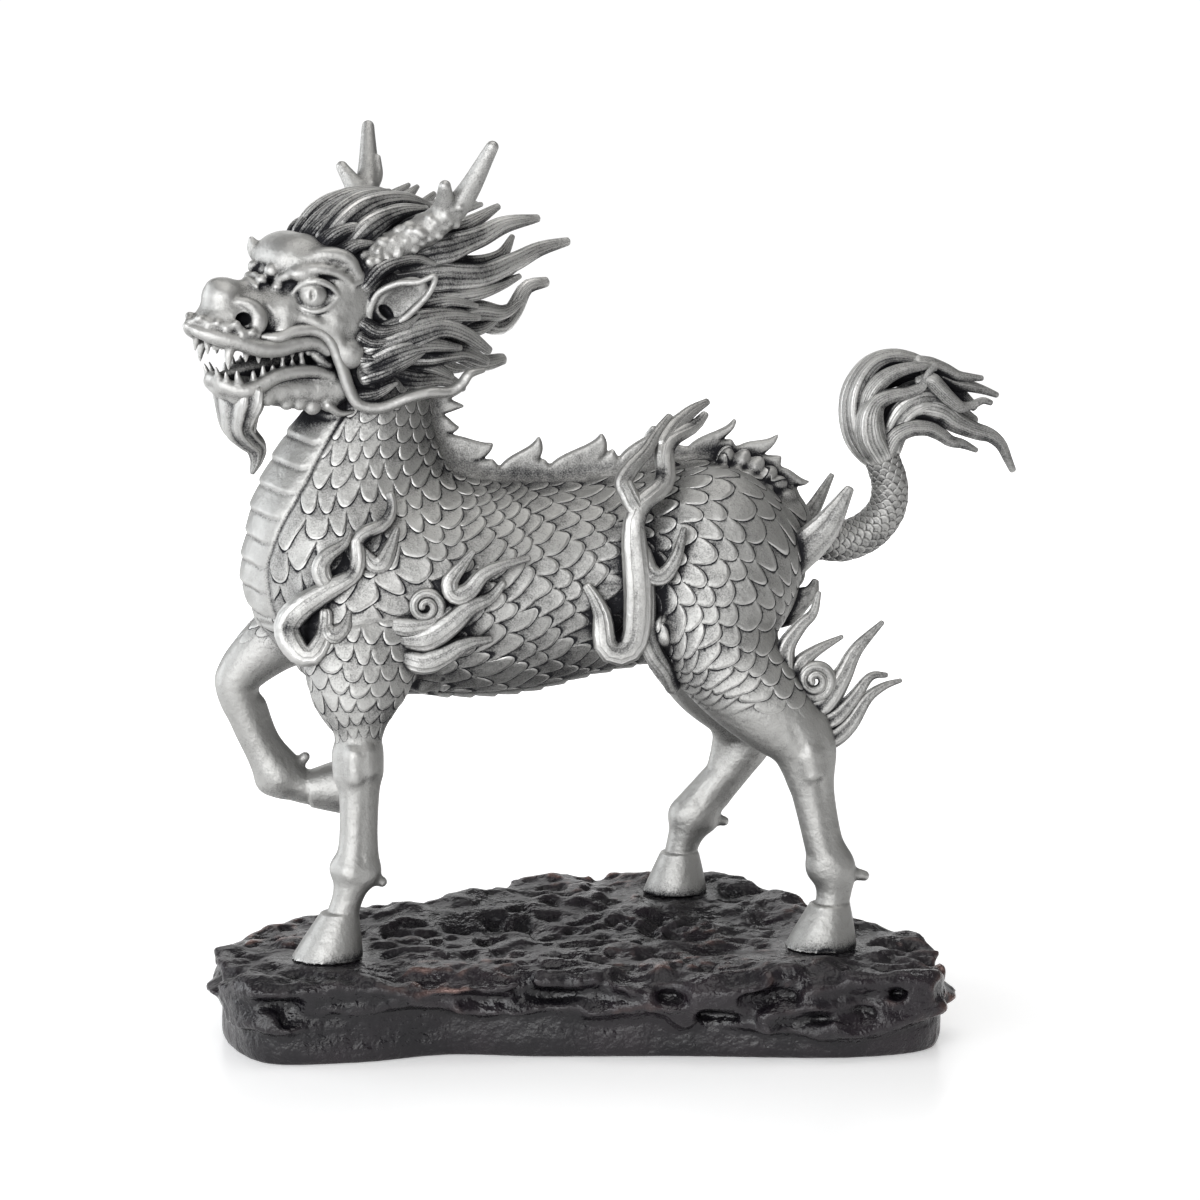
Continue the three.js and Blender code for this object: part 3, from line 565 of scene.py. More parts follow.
# Scales sink away within this distance of the line where two lattices meet
BORDER = 0.5
FORELEG_SCALE_SIZE = 0.85


def rows_along(distance, knots, widths):
    """Counts rows along a line on which the scales' width changes"""
    fine = np.linspace(knots[0], knots[-1], 400)
    pitch = SCALE_ASPECT * np.interp(fine, knots, widths)
    count = np.r_[0, np.cumsum(np.diff(fine) / pitch[1:])]
    return np.interp(distance, fine, count)


def trunk_lattice(points):
    """Rows down the neck, round the bend of the chest and back along the belly, and columns round them"""
    x, y, z = points.T
    beyond_x, below_z = BEND[0] - x, BEND[1] - z
    angle = np.arctan2(np.maximum(below_z, 0), np.maximum(beyond_x, 1e-6))
    radius = np.hypot(np.maximum(beyond_x, 0), np.maximum(below_z, 0))
    distance = BEND_RADIUS * angle - np.maximum(-below_z, 0) + np.maximum(-beyond_x, 0)
    middle = np.interp(angle, [0, 0.4, 0.8, 1.2, math.pi / 2], [20.5, 23.5, 26, 24, 21])
    around = np.arctan2(y, radius - middle)
    knots = [-14, -10, 0, 12, 24, 38, 55, 80]
    girths = np.array([6, 6.2, 7.4, 10, 12.8, 12.8, 12, 8])
    counts = np.array([18, 18, 19, 22, BODY_COLUMNS, BODY_COLUMNS, BODY_COLUMNS, BODY_COLUMNS])
    stretch = np.array([1.3, 1.3, 1.3, 1.15, 1.0, 1.0, 1, 1])
    rows = rows_along(distance, knots, stretch * 2 * math.pi * girths / counts)
    columns = around * np.interp(distance, knots, counts) / (2 * math.pi)
    # rows slant, so that scales on the flanks point back and down
    slant = np.interp(angle, [0, 0.7, math.pi / 2], [0.25, 0.35, 0.6])
    rows = rows - slant * (np.abs(columns) - BODY_COLUMNS / 4)
    return rows, columns, angle, around


def haunch_lattice(points):
    """Rows that fan out from a pivot below the thigh, and columns from its outer side"""
    x, y, z = points.T
    dx, dz = x - HAUNCH_PIVOT[0], z - HAUNCH_PIVOT[1]
    angle = np.arctan2(dx, dz)
    radius = np.hypot(dx, dz)
    middle = np.interp(angle, HAUNCH_ANGLES, [22, 20, 16.5, 16])
    around = np.arctan2(radius - middle, np.abs(y) - 3)
    size = np.interp(angle, HAUNCH_ANGLES, [12, 11.5, 7, 5.5])
    width = np.interp(angle, HAUNCH_ANGLES, [3.1, 3.0, 2.6, 2.2])
    rows = rows_along(angle * HAUNCH_REACH, [-30, 0, 22, 34.5, 42, 60], [3.1, 3.1, 3.0, 2.6, 2.2, 2.2])
    return rows, around * size / width


def limb_lattice(points, axis, girth, width, pitch):
    """Rows down a limb's axis, and columns round it from the side that faces the camera"""
    line = smooth_line(axis, 10)[:, :3]
    best = np.full(len(points), np.inf)
    distance = np.zeros(len(points))
    around = np.zeros(len(points))
    length = 0.0
    for a, b in zip(line[:-1], line[1:]):
        step = b - a
        size = np.linalg.norm(step)
        along = step / size
        t = np.clip((points - a) @ along, 0, size)
        off = points - a - t[:, None] * along
        reach = np.linalg.norm(off, axis=1)
        out = np.array([0, NEAR, 0.0])
        out = unit(out - (out @ along) * along)
        fore = np.cross(along, out)
        nearer = reach < best
        best[nearer] = reach[nearer]
        distance[nearer] = (length + t)[nearer]
        around[nearer] = np.arctan2(off @ fore, off @ out)[nearer]
        length += size
    rows = distance / pitch
    count = round(2 * math.pi * girth / width)
    return rows, around * count / (2 * math.pi), distance / length


def scale_profile(rows, columns):
    """Height of overlapping scales, 0 to 1, and how deep a point lies in the groove below an edge"""
    base = np.floor(rows)
    share = rows - base
    odd = np.mod(base, 2) * 0.5
    first = np.mod(columns - odd + 0.5, 1) - 0.5
    second = np.mod(columns - odd, 1) - 0.5
    edge = SCALE_REACH * np.sqrt(np.clip(1 - (2 * first) ** 2, 0, 1)) - share
    after = 1 + SCALE_REACH * np.sqrt(np.clip(1 - (2 * second) ** 2, 0, 1)) - share
    over = edge > 0
    to_edge = np.where(over, edge, after)
    across = np.where(over, first, second)
    height = 1 - np.clip(to_edge / SCALE_OVERLAP, 0, 1)
    height = height * (0.45 + 0.55 * smoothstep(to_edge, 0, 0.16)) * (1 - 0.9 * across ** 2)
    groove = np.where(over, 0, 1 - np.clip(-edge / 0.13, 0, 1))
    return height, groove


def throat_plates(points, angle, around):
    """Overlapping plates down the front of the neck and along the belly"""
    x, y, z = points.T
    half = np.interp(angle, [0, 0.31, 0.52, 0.8, 1.57], [1.19, 0.82, 0.46, 0.42, 0.36])
    inside = np.abs(around) - half
    reach = np.abs(around) / half
    down = (66 - z) / PLATE_PITCH_NECK - 0.45 * reach ** 2 + 0.35 * smoothstep(reach, 0.7, 1.1)
    back = (x + 38) / PLATE_PITCH_BELLY + 12
    count = np.where(angle > 0.85, back, down)
    share = np.mod(count, 1)
    height = 0.2 + 0.8 * share
    height = height * smoothstep(1 - share, 0, 0.22) * (0.4 + 0.6 * smoothstep(share, 0, 0.12))
    height = height * np.sqrt(np.clip(1 - 0.8 * reach ** 2, 0, 1))
    groove = 1 - smoothstep(np.minimum(share, 1 - share), 0, 0.08)
    return inside, height, groove


def scale_lattice(points):
    """Where each point of the body lies on its lattice, and the strength and size of its scales"""
    x, y, z = points.T
    rows, columns, angle, around = trunk_lattice(points)
    lattice = np.stack([rows, columns], axis=1)
    # fainter on the neck
    strength = smoothstep(z, 80, 70) * (1 - 0.42 * smoothstep(z, 60, 68))
    size = np.interp(angle, [0, 0.6], [0.75, 1.0])

    # haunches and thighs
    inward = np.minimum(x - 4.4, np.maximum(np.abs(y) - 3.2, (z - 52) * 0.5))
    rear = inward > 0
    border = smoothstep(np.abs(inward), 0, BORDER)
    end = smoothstep(z, 28.5, 32.5)
    lattice = np.where(rear[:, None], np.stack(haunch_lattice(points), axis=1), lattice)
    strength = strength * border * np.where(rear, end, 1)

    # forelegs
    for side, axis, top in (
            (NEAR, NEAR_FORE_LEG[:5], 41.5 + 0.12 * (x + 29)),
            (FAR, FAR_FORE_LEG[:4], 42 + 0.1 * (x + 29))):
        rows, columns, share = limb_lattice(points, axis, *FORELEG_SCALES)
        inward = np.minimum(np.minimum(top - z, -19.5 - x), side * y - 2.5)
        on_leg = inward > 0
        border = smoothstep(np.abs(inward), 0, BORDER)
        if side == NEAR:
            end = smoothstep(z + 0.5 * np.abs(x + 29.4), 26.6, 29.4)
        else:
            end = smoothstep(share, 0.93, 0.82) * smoothstep(z, 34, 39)
        lattice = np.where(on_leg[:, None], np.stack([rows, columns], axis=1), lattice)
        strength = np.where(on_leg, end * border, strength * border)
        size = np.where(on_leg, FORELEG_SCALE_SIZE, size)

    # no scales on the crest
    trunk_crest = smoothstep(math.pi - np.abs(around), 0.13, 0.2)
    rump_crest = smoothstep(np.abs(y) - 1.2, 0, 1.2)
    strength = strength * np.where(z > 53, np.where(rear, rump_crest, trunk_crest), 1)

    # hand-laid rows are never quite even
    drift = np.sin(0.5 * x + 0.9 * y * np.sign(y) + 0.35 * z) + np.sin(0.42 * z - 0.7 * x + 1.1)
    lattice = lattice + UNEVEN_ROWS * np.stack([drift, np.sin(0.62 * x + 0.55 * z)], axis=1)
    return lattice, strength, size, angle, around


def dress_body(shell):
    """Presses scales and plates into the body. Gives the shell, and per point its lattice and groove."""
    points, quads, triangles = shell
    x, y, z = points.T
    lattice, strength, size, angle, around = scale_lattice(points)
    height, groove = scale_profile(*lattice.T)
    inside, plate_height, plate_groove = throat_plates(points, angle, around)
    on_legs = (z < 42 + 0.1 * (x + 29)) & (x < -19.5) & ((np.abs(y) > 2.5) | (z < 39.5))
    throat = (x < 8) & (z < 72) & ~on_legs
    plates = (inside < 0) & throat
    seam = np.where(throat, 1 - smoothstep(np.abs(inside), 0.0, 0.06), 0)
    rise = SCALE_RISE * size * height * strength
    rise = np.where(plates, PLATE_RISE * plate_height * smoothstep(-inside, 0, 0.2), rise)
    rise = rise - SEAM_DEPTH * seam
    dark = np.where(plates, 0.6 * plate_groove, groove * strength)
    dark = np.maximum(dark, seam)
    strength = np.where(plates | (seam > 0.5), 0, strength * (1 - seam))
    points = points + vertex_normals(shell) * rise[:, None]
    return (points, quads, triangles), np.column_stack([lattice, strength]), dark


# Head, in its own axes: [forward, left, up]

SKULL = [
    [-11.4, 0, 3, 3.4, 3.4], [-8.4, 0, 3, 7.4, 6.6], [-3, 0, 3.6, 8.7, 8.2], [3, 0, 4.2, 7.7, 7.6],
    [7.5, 0, 3.2, 5.6, 6], [11, 0, 1.8, 3.8, 4.8], [15, 0, 1.4, 3.3, 4.1], [18.4, 0, 1.1, 2.6, 3.4],
    [21, 0, 0.3, 1.1, 2.0], [22.2, 0, 0, 0.4, 0.6],
]
JAW = [
    [1, 0, -5.2, 4.6, 6], [6, 0, -7.8, 2.9, 4.8], [11.5, 0, -7.9, 2, 3.7], [16, 0, -7.9, 1.6, 3.2],
    [18.6, 0, -7, 1.1, 2.2],
]
UPPER_LIP = [
    [22.7, 0, 0.3, 0.42], [21.6, 1.2, -0.3, 0.8], [19.8, 2.6, -0.9, 1.0], [17.6, 3.6, -1.4, 1.05],
    [15.2, 4.3, -2.1, 1.1], [12.8, 4.7, -2.2, 1.1], [10.4, 5.1, -1.7, 1.05], [8.2, 5.6, -1.6, 0.95],
    [6.6, 5.9, -2.6, 0.8],
]
LIP_CURL = [
    [22.5, 0.3, 0.9, 0.3], [21.3, 1.2, 1.0, 0.6], [19.6, 2.5, 0.5, 0.6], [18.2, 3.4, 0.6, 0.62],
    [17, 3.9, -0.3, 0.55], [15.4, 4.4, -0.5, 0.4],
]
LOWER_LIP = [
    [19, 0.4, -6.2, 0.8], [18.2, 2, -6.9, 0.9], [16.6, 3.2, -7.4, 0.95], [14.8, 3.8, -6.8, 0.95],
    [12.8, 4.3, -5.7, 0.9], [10.4, 4.8, -5.2, 0.85], [8, 5.2, -5.2, 0.8], [5.8, 5.5, -5.8, 0.8],
]
BROW = [
    [11.9, 2.6, 5.6, 0.55], [11.0, 3.9, 6.4, 0.7], [9.6, 5.3, 7.1, 0.78], [8.0, 6.3, 7.3, 0.72],
    [6.3, 6.9, 6.9, 0.62], [4.8, 7.3, 5.9, 0.5], [4.2, 7.5, 5.0, 0.35],
]
EYE = np.array([8.4, 5.1, 4.15])
EYE_SIZE = 1.9
GAZE = unit([0.5, 0.84, 0.12])
UPPER_LID = [
    [10.9, 3.9, 3.7, 0.28], [10.2, 5.0, 5.2, 0.42], [8.9, 6.4, 5.95, 0.48], [7.2, 7.0, 5.4, 0.42],
    [5.9, 7.1, 4.1, 0.3],
]
LOWER_LID = [
    [10.9, 3.9, 3.6, 0.26], [10.1, 5.2, 2.7, 0.32], [8.8, 6.3, 2.25, 0.36], [7.2, 6.9, 2.8, 0.34],
    [5.9, 7.1, 4.0, 0.28],
]
WING = [
    [18.4, 2.1, 3.2, 0.4], [16.7, 2.9, 3.2, 0.75], [15.4, 3.5, 2.3, 1.0], [15.1, 3.8, 0.9, 1.15],
    [15.7, 3.7, -0.2, 0.8], [16.5, 3.5, -0.2, 0.4],
]
NOSE_FOLD = [[12.6, 1.8, 4.4, 0.5], [11.9, 3.4, 2.8, 0.6], [11.6, 4.5, 1.2, 0.6], [12.2, 4.8, -0.4, 0.5]]
CHEEK_FOLD = [[10.6, 4.6, 1.6, 0.8], [8.6, 5.8, 1.0, 0.9], [6.2, 6.8, -0.6, 0.8], [5.0, 7.2, -3, 0.7]]
JAW_EDGE = [[16.6, 2, -8, 1.3], [12, 3.0, -7.5, 1.5], [8, 3.8, -7.5, 1.8], [4.6, 4.6, -7.4, 2.1]]
BROW_RIDGE = [[9.6, 4.3, 8.0, 0.6], [7.2, 5.8, 9.1, 0.75], [4.8, 6.9, 8.6, 0.75], [3.4, 7.3, 6.6, 0.5]]
BROW_GROOVE = [[8.4, 6.3, 8.1, 0.3], [6.2, 7.3, 8.0, 0.4], [4.6, 7.8, 6.8, 0.3]]
WING_GROOVE = [[14.2, 3.8, 3.2, 0.2], [13.5, 4.3, 1.4, 0.22], [13.7, 4.5, -0.6, 0.2]]
MOUTH_CORNER = [[8.4, 4.6, -2.4, 0.6], [7.4, 5.0, -3.6, 0.7], [6, 5.3, -4.5, 0.55]]
JAW_SPUR = [[6.2, 5.6, -9.4, 0.6], [4.6, 5.8, -10.4, 0.5], [2.4, 6.2, -10.2, 0.25]]
# Ovals for brow, temple, cheek, muzzle and the lumps under the jaw: centre, radii, blend
HEAD_LUMPS = [
    ([8.4, 1.7, 7.9], [4.1, 3.3, 3.2], 0.8),
    ([5.2, 4.2, 7.5], [3.6, 2.7, 2.3], 1.3),
    ([9.0, 4.6, 6.7], [2.4, 1.7, 1.3], 0.5),
    ([4.2, 5.9, 1.6], [3.8, 1.9, 4.2], 1.0),
    ([4.6, 6.2, 5.2], [2.2, 1.3, 1.8], 0.8),
    ([5.9, 6.5, 0.8], [1.5, 1.3, 1.35], 0.35),
    ([4.0, 6.9, -2.9], [1.9, 1.6, 2.0], 0.45),
    ([1.4, 7.0, 5.9], [1.5, 1.3, 1.4], 0.4),
    ([12.3, 2.0, 6.8], [1.0, 0.95, 0.95], 0.2),
    ([13.4, 1.4, 5.7], [0.75, 0.8, 0.7], 0.2),
    ([11.9, 2.8, 5.0], [0.8, 0.7, 0.6], 0.2),
    ([10.6, 3.9, 2.2], [2.0, 1.3, 1.8], 0.9),
    ([10.6, 4.2, -0.2], [2.6, 1.2, 1.4], 0.7),
    ([13.2, 3.0, -8.6], [1.0, 1.0, 0.9], 0.3),
    ([11.7, 3.7, -8.3], [0.7, 0.6, 0.7], 0.1),
    ([10.8, 3.5, -9.2], [0.95, 0.9, 0.85], 0.15),
    ([9.2, 3.9, -9.2], [1.0, 0.9, 0.95], 0.15),
    ([9.6, 4.3, -7.6], [0.8, 0.6, 0.7], 0.1),
    ([7.6, 4.3, -9.7], [1.1, 0.9, 1.0], 0.2),
    ([7.4, 4.9, -8.0], [0.9, 0.6, 0.8], 0.1),
    ([5.6, 4.9, -9.3], [1.2, 1.0, 1.1], 0.3),
]
WHISKER = [
    [14.6, 4.0, -0.8, 0.6], [13.0, 4.9, -0.8, 0.8], [11, 5.4, -0.1, 0.85], [8.6, 6, 0, 0.85],
    [6.8, 6.6, -1.1, 0.85], [5.4, 7, -4.1, 0.82], [4.3, 7.2, -7.1, 0.8], [3, 7.6, -9.1, 0.8],
    [0.6, 8.6, -9.5, 0.8], [-2.4, 10, -8.3, 0.78], [-5, 11, -7.6, 0.75], [-7.4, 11.5, -7.6, 0.72],
    [-8.9, 12, -6.6, 0.68], [-9.8, 12.3, -5.4, 0.6], [-11.6, 12.5, -5, 0.35],
]
EAR_RIM = [
    [1.9, 7.5, 0.4], [1.9, 7.7, 2.4], [1.3, 8.6, 4.5], [-0.3, 10.4, 5.8], [-2.2, 12, 6.1],
    [-3.9, 13, 6.9], [-3.6, 12.3, 4.8], [-2.5, 10.6, 2.5], [-1.4, 9.1, 0.9], [0.2, 8, 0.1],
    [1.7, 7.4, -0.4],
]
HORN = [
    [1, 6, 7.6, 2.2], [-1.9, 7, 9.8, 2.1], [-5.4, 8.8, 12.2, 1.9], [-8.6, 11, 15.6, 1.5],
    [-10.6, 14.4, 22.4, 0.8],
]
HORN_PRONG = [[-5.4, 8.8, 11.6, 1.5], [-6.6, 10.2, 14.6, 1.35], [-5.5, 12.1, 17.6, 0.75]]
HORN_SPUR = [[-7.6, 10.4, 14, 0.9], [-9.8, 10.6, 16.2, 0.7], [-10.4, 11.4, 18.8, 0.35]]
HEAD_STEP = 0.16


def cone(head, root, tip, root_size, tip_size=0.12, bend=(0, 0, 0)):
    middle = (np.array(root) + np.array(tip)) / 2 + np.array(bend)
    head.chain([[*root, root_size], [*middle, (root_size + tip_size) * 0.6], [*tip, tip_size]], 0.12)


def teeth(head, side):
    """Incisors, fangs and the small teeth behind them"""
    def at(point):
        return [point[0], side * point[1], point[2]]

    cone(head, at([20.6, 1.3, -0.8]), at([20.7, 1.6, -3.2]), 0.5)
    cone(head, at([18.3, 3.2, -1.6]), at([18.9, 3.6, -4.9]), 0.68, bend=(0.25, 0, 0))
    for share in np.linspace(0, 1, 4):
        root = [20 - 1.2 * share, 1.9 + 0.9 * share, -1.3]
        cone(head, at(root), at([root[0] + 0.1, root[1] + 0.1, -2.7 + 0.2 * share]), 0.3)
    for n, f in enumerate((16.6, 15, 13.4, 12, 10.8, 9.7, 8.8)):
        l = 3.6 + (16.6 - f) * 0.17
        cone(head, at([f, l, -2.4]), at([f, l, -3.9 - 0.35 * (n % 2) + 0.1 * n]), 0.42, 0.16)
    cone(head, at([18.9, 1.3, -6.2]), at([19.6, 1.5, -4.4]), 0.42)
    cone(head, at([18.3, 2.2, -6.4]), at([18.8, 2.6, -4.9]), 0.38)
    cone(head, at([16.9, 3.1, -7]), at([17.7, 3.5, -4.6]), 0.6, bend=(0.2, 0, 0))
    for n, f in enumerate((15.4, 14.2, 13, 11.8, 10.6, 9.4)):
        l = 3.5 + (15.4 - f) * 0.2
        low = -6.6 + (15.4 - f) * 0.26
        cone(head, at([f, l, low]), at([f + 0.1, l, low + 1.7 + 0.3 * (n % 2)]), 0.45, 0.18)


def head_side(head, side):
    # sockets first, so that what stands round them is added over them
    head.oval(EYE * [1, side, 1] + [0.2, 0.9 * side, 0], [2.7, 1.9, 2.3], 0.35, carve=True)
    for centre, radii, blend in HEAD_LUMPS:
        head.oval(np.array(centre) * [1, side, 1], radii, blend)
    for line, blend, carve in [
        (JAW_EDGE, 0.6, False), (BROW_RIDGE, 1.1, False), (BROW_GROOVE, 0.25, True), (NOSE_FOLD, 1.1, False),
        (CHEEK_FOLD, 0.6, False), (UPPER_LIP, 0.45, False), (LOWER_LIP, 0.45, False), (LIP_CURL, 0.12, False),
    ]:
        head.chain(on_side(line, side), blend, carve)
    ruffle = even_line(on_side(LIP_CURL, side), 40)
    for n in range(7):
        at = ruffle[5 + 5 * n]
        head.oval(at[:3] + [0, 0.35 * side, 0.3 * (-1) ** n], [0.62, 0.5, 0.5], 0.25)
    head.chain(on_side(WING_GROOVE, side), 0.3, carve=True)
    head.chain(on_side(WING, side), 0.1)
    head.oval([17.0, 3.2 * side, 1.3], [0.95, 1.3, 0.8], 0.2, carve=True)
    head.oval([17.1, 2.6 * side, 1.4], [0.6, 1.8, 0.5], 0.15, carve=True)
    head.chain(on_side(BROW, side), 0.25)
    line = even_line(on_side(BROW, side), 60)
    for n, share in enumerate((0.08, 0.22, 0.36, 0.5, 0.62, 0.74, 0.86, 0.97)):
        root = line[int(share * 59)]
        away = np.array([-0.9 - 0.6 * share, 0.3 * side, 1.3 - 0.8 * share])
        tip = root[:3] + away * (0.95 + 0.4 * (n % 2))
        head.chain([[*(root[:3] + [0, 0, 0.15]), 0.5], [*tip, 0.12]], 0.08)
    head.oval(EYE * [1, side, 1], [EYE_SIZE] * 3, 0.05)
    gaze = GAZE * [1, side, 1]
    head.oval(EYE * [1, side, 1] + gaze * EYE_SIZE, [0.3, 0.4, 0.9], 0.05, carve=True)
    head.chain(on_side(UPPER_LID, side), 0.2)
    head.chain(on_side(LOWER_LID, side), 0.2)
    teeth(head, side)
    head.chain(on_side(MOUTH_CORNER, side), 0.1)
    head.chain(on_side(JAW_SPUR, side), 0.2)
    ear(head, side)


def ear(head, side):
    rim = np.array(on_side(EAR_RIM, side))
    root, tip = np.array([1.2, 7.5 * side, 0.8]), np.array([-3.9, 13 * side, 6.9])
    long_axis = unit(tip - root)
    across = np.array([1.6, side * 1.0, 5.1])
    across = unit(across - (across @ long_axis) * long_axis)
    face = np.cross(long_axis, across)
    face = face * np.sign(face @ np.array([0.57, 0.81 * side, 0.16]))
    middle = root + (tip - root) * 0.42
    head.oval(middle - face * 0.5, [4.1, 2.5, 0.8], 0.2, axes=[long_axis, across, face])
    head.oval(middle + face * 0.5, [3.5, 2.0, 0.95], 0.1, carve=True, axes=[long_axis, across, face])
    thick = np.interp(np.arange(len(rim)), [0, 5, 10], [0.55, 0.36, 0.55])
    head.chain(np.column_stack([rim, thick]), 0.12)
    canal = root + (tip - root) * 0.2 + face * 0.1
    head.oval(canal - face * 0.3, [1.15, 0.55, 1.2], 0.1, carve=True, axes=[across, long_axis, face])


def head_field():
    head = Field([-14, -15, -13.5], [25, 15, 14], HEAD_STEP)
    head.shell(tube(SKULL, sides=72, per=10))
    head.shell(tube(JAW, sides=64, per=10), 0.9)
    # mouth: the palate and the floor are hollowed, so that it reads as a cavity
    head.oval([12, 0, -3.6], [9, 3.4, 2.4], 0.4, carve=True)
    head.oval([18, 0, 3.5], [2.4, 2.7, 2.4], 0.8)
    head.chain([[18, 0, -6, 0.5], [14, 0, -5.2, 1.2], [9, 0, -4.4, 1.8], [5, 0, -4.4, 2]], 0.3)
    head.chain([[19, 0, 4.9, 0.8], [15, 0, 4.4, 1.2], [12, 0, 5.4, 1.2], [9, 0, 7, 1.5]], 0.8)
    head.oval([9.0, 0, 8.2], [3.6, 3, 2.9], 0.8)
    for side in (LEFT, RIGHT):
        head_side(head, side)
    head.chain([[10.2, -3.2, 7.4, 1.3], [11.5, -3.4, 8.6, 1.05], [12.1, -3.6, 10.0, 0.35]], 0.3)
    for n in range(3):
        f, rise = 14.2 - 1.1 * n, 0.5 * n
        foot = 4.9 + rise
        head.chain([[f, -1.7, foot, 0.3], [f + 0.4, 0, 5.6 + rise, 0.42], [f, 1.7, foot, 0.3]], 0.3)
    head.soften(1)
    return head


def horn_shell(side, seed):
    horn = Field([-13, 3, 4], [4, 17, 25], HEAD_STEP)
    horn.chain(HORN, 0, per=10)
    horn.chain(HORN_PRONG, 0.6)
    if side == RIGHT:
        horn.chain(HORN_SPUR, 0.3)
    rng = np.random.default_rng(seed)
    line = even_line(HORN, 80)
    for n in range(110):
        at = line[int(rng.random() ** 1.3 * 50)]
        turn = rng.normal(size=3)
        along = unit(np.gradient(line[:, :3], axis=0)[int(min(49, n / 2))])
        out = unit(turn - (turn @ along) * along)
        size = 0.25 + 0.4 * rng.random()
        horn.oval(at[:3] + out * (at[3] - 0.15), [size] * 3, 0.3)
    for centre, size in [
        ([0.9, 6.6, 8.3], 1.05), ([-0.9, 7.6, 8.6], 1.0), ([-1.9, 8.2, 10], 0.95), ([-3.4, 9.2, 11], 0.8),
        ([2.2, 6.4, 8.6], 0.8), ([-0.3, 6.2, 10.4], 0.8),
    ]:
        horn.oval(centre, [size] * 3, 0.15)
    horn.soften(1)
    points, quads, triangles = horn.mesh()
    return outward(points * [1, side, 1], quads, triangles)


def whisker_shell():
    """Both whiskers, in the head's axes"""
    shells = []
    for side in (LEFT, RIGHT):
        shells.append(tube(
            [[*p[:3], p[3], p[3] * 0.85] for p in on_side(WHISKER, side)], sides=24, per=8,
            across=(0.2, 0.6, 0.7), bulge=1, relief=lambda a, s: 1 + 0.05 * np.cos(3 * a)))
    return join(shells)


BEARD = [
    # line, half width fore and aft, half width across
    [15.2, 0, -7.2, 4.9, 2.1], [15.1, 0, -9.2, 4.8, 2.2], [15.2, 0, -10.8, 3.8, 2.0],
    [15.2, 0, -12.3, 2.8, 1.8], [14.3, 0, -13.7, 2.3, 1.5], [13.2, 0, -15.0, 1.9, 1.2],
    [13.2, 0, -16.6, 1.1, 0.7], [13.8, 0, -18.2, 0.35, 0.3],
]


def strands(shell, sides):
    """Where each point of a tube lies round it and along it, for the fine grooves of hair"""
    rings = (len(shell[0]) - 2) // sides
    angle = 2 * math.pi * (np.arange(sides) + 0.5) / sides
    around = np.tile(np.column_stack([np.cos(angle), np.sin(angle)]), (rings, 1))
    share = np.repeat(np.linspace(0, 1, rings), sides)
    return np.vstack([np.column_stack([around, share]), [[1, 0, 0], [1, 0, 1]]])


def beard_lock(shift, share, number):
    """One of the layers of the beard: the whole of it, or a shorter one over its side"""
    line = even_line(BEARD, 40)
    line = line[:int(len(line) * (0.55 + 0.45 * share))].copy()
    if share < 1:
        line[:, 3:] *= share * np.clip(np.linspace(1, 0, len(line)) * 2.2, 0.15, 1)[:, None]
    line[:, 1] += shift * line[:, 4] * 0.75
    line[:, 0] += 0.4 * np.sin(np.linspace(0, 5, len(line)) + 2 * number)

    def relief(angle, along):
        wave = np.cos(7 * angle + 4 * along)
        return 1 + 0.08 * (np.abs(wave) ** 0.7 * np.sign(wave) - 0.3)

    shell = tube(line, sides=56, count=50, across=(1, 0, 0), bulge=0.6, cap=3, relief=relief)
    return shell, strands(shell, 56)


def taper(points, root, tip, power, swell=0.2):
    """Stations of a lock or flame: thick at the root, fullest a little way on, narrow at the tip"""
    line = even_line(points, 26)
    share = np.linspace(0, 1, len(line))
    size = root + (tip - root) * share ** power
    size = size * (1 - swell + swell * np.sin(np.pi * np.clip(share * 1.6 + 0.15, 0, 1)))
    return line, size


def course_of(sizes, count):
    """A few sizes spread evenly along a line, read at `count` places"""
    return np.interp(np.linspace(0, 1, count), np.linspace(0, 1, len(sizes)), sizes)


def lock(points, root, tip, grooves, depth, flat, across=(0, 1, 0), twist=0.6, sides=30, rings=28,
         sizes=None):
    """A lock of hair: a narrowing, grooved tube, and the strand lines of its points"""
    line, size = taper(points, root, tip, 2.4)
    if sizes:
        size = root * course_of(sizes, len(size))
    stations = np.column_stack([line, size, size * flat])

    def relief(angle, share):
        wave = np.cos(grooves * angle + twist * 2 * math.pi * share)
        return 1 + depth * (np.abs(wave) ** 0.7 * np.sign(wave) - 0.3) * (1 - 0.6 * share)

    shell = tube(stations, sides=sides, count=rings, across=across, bulge=0.8, cap=3, relief=relief)
    return shell, strands(shell, sides)


# Mane: locks as lines in the head's axes, then their thickness, tip and number of grooves

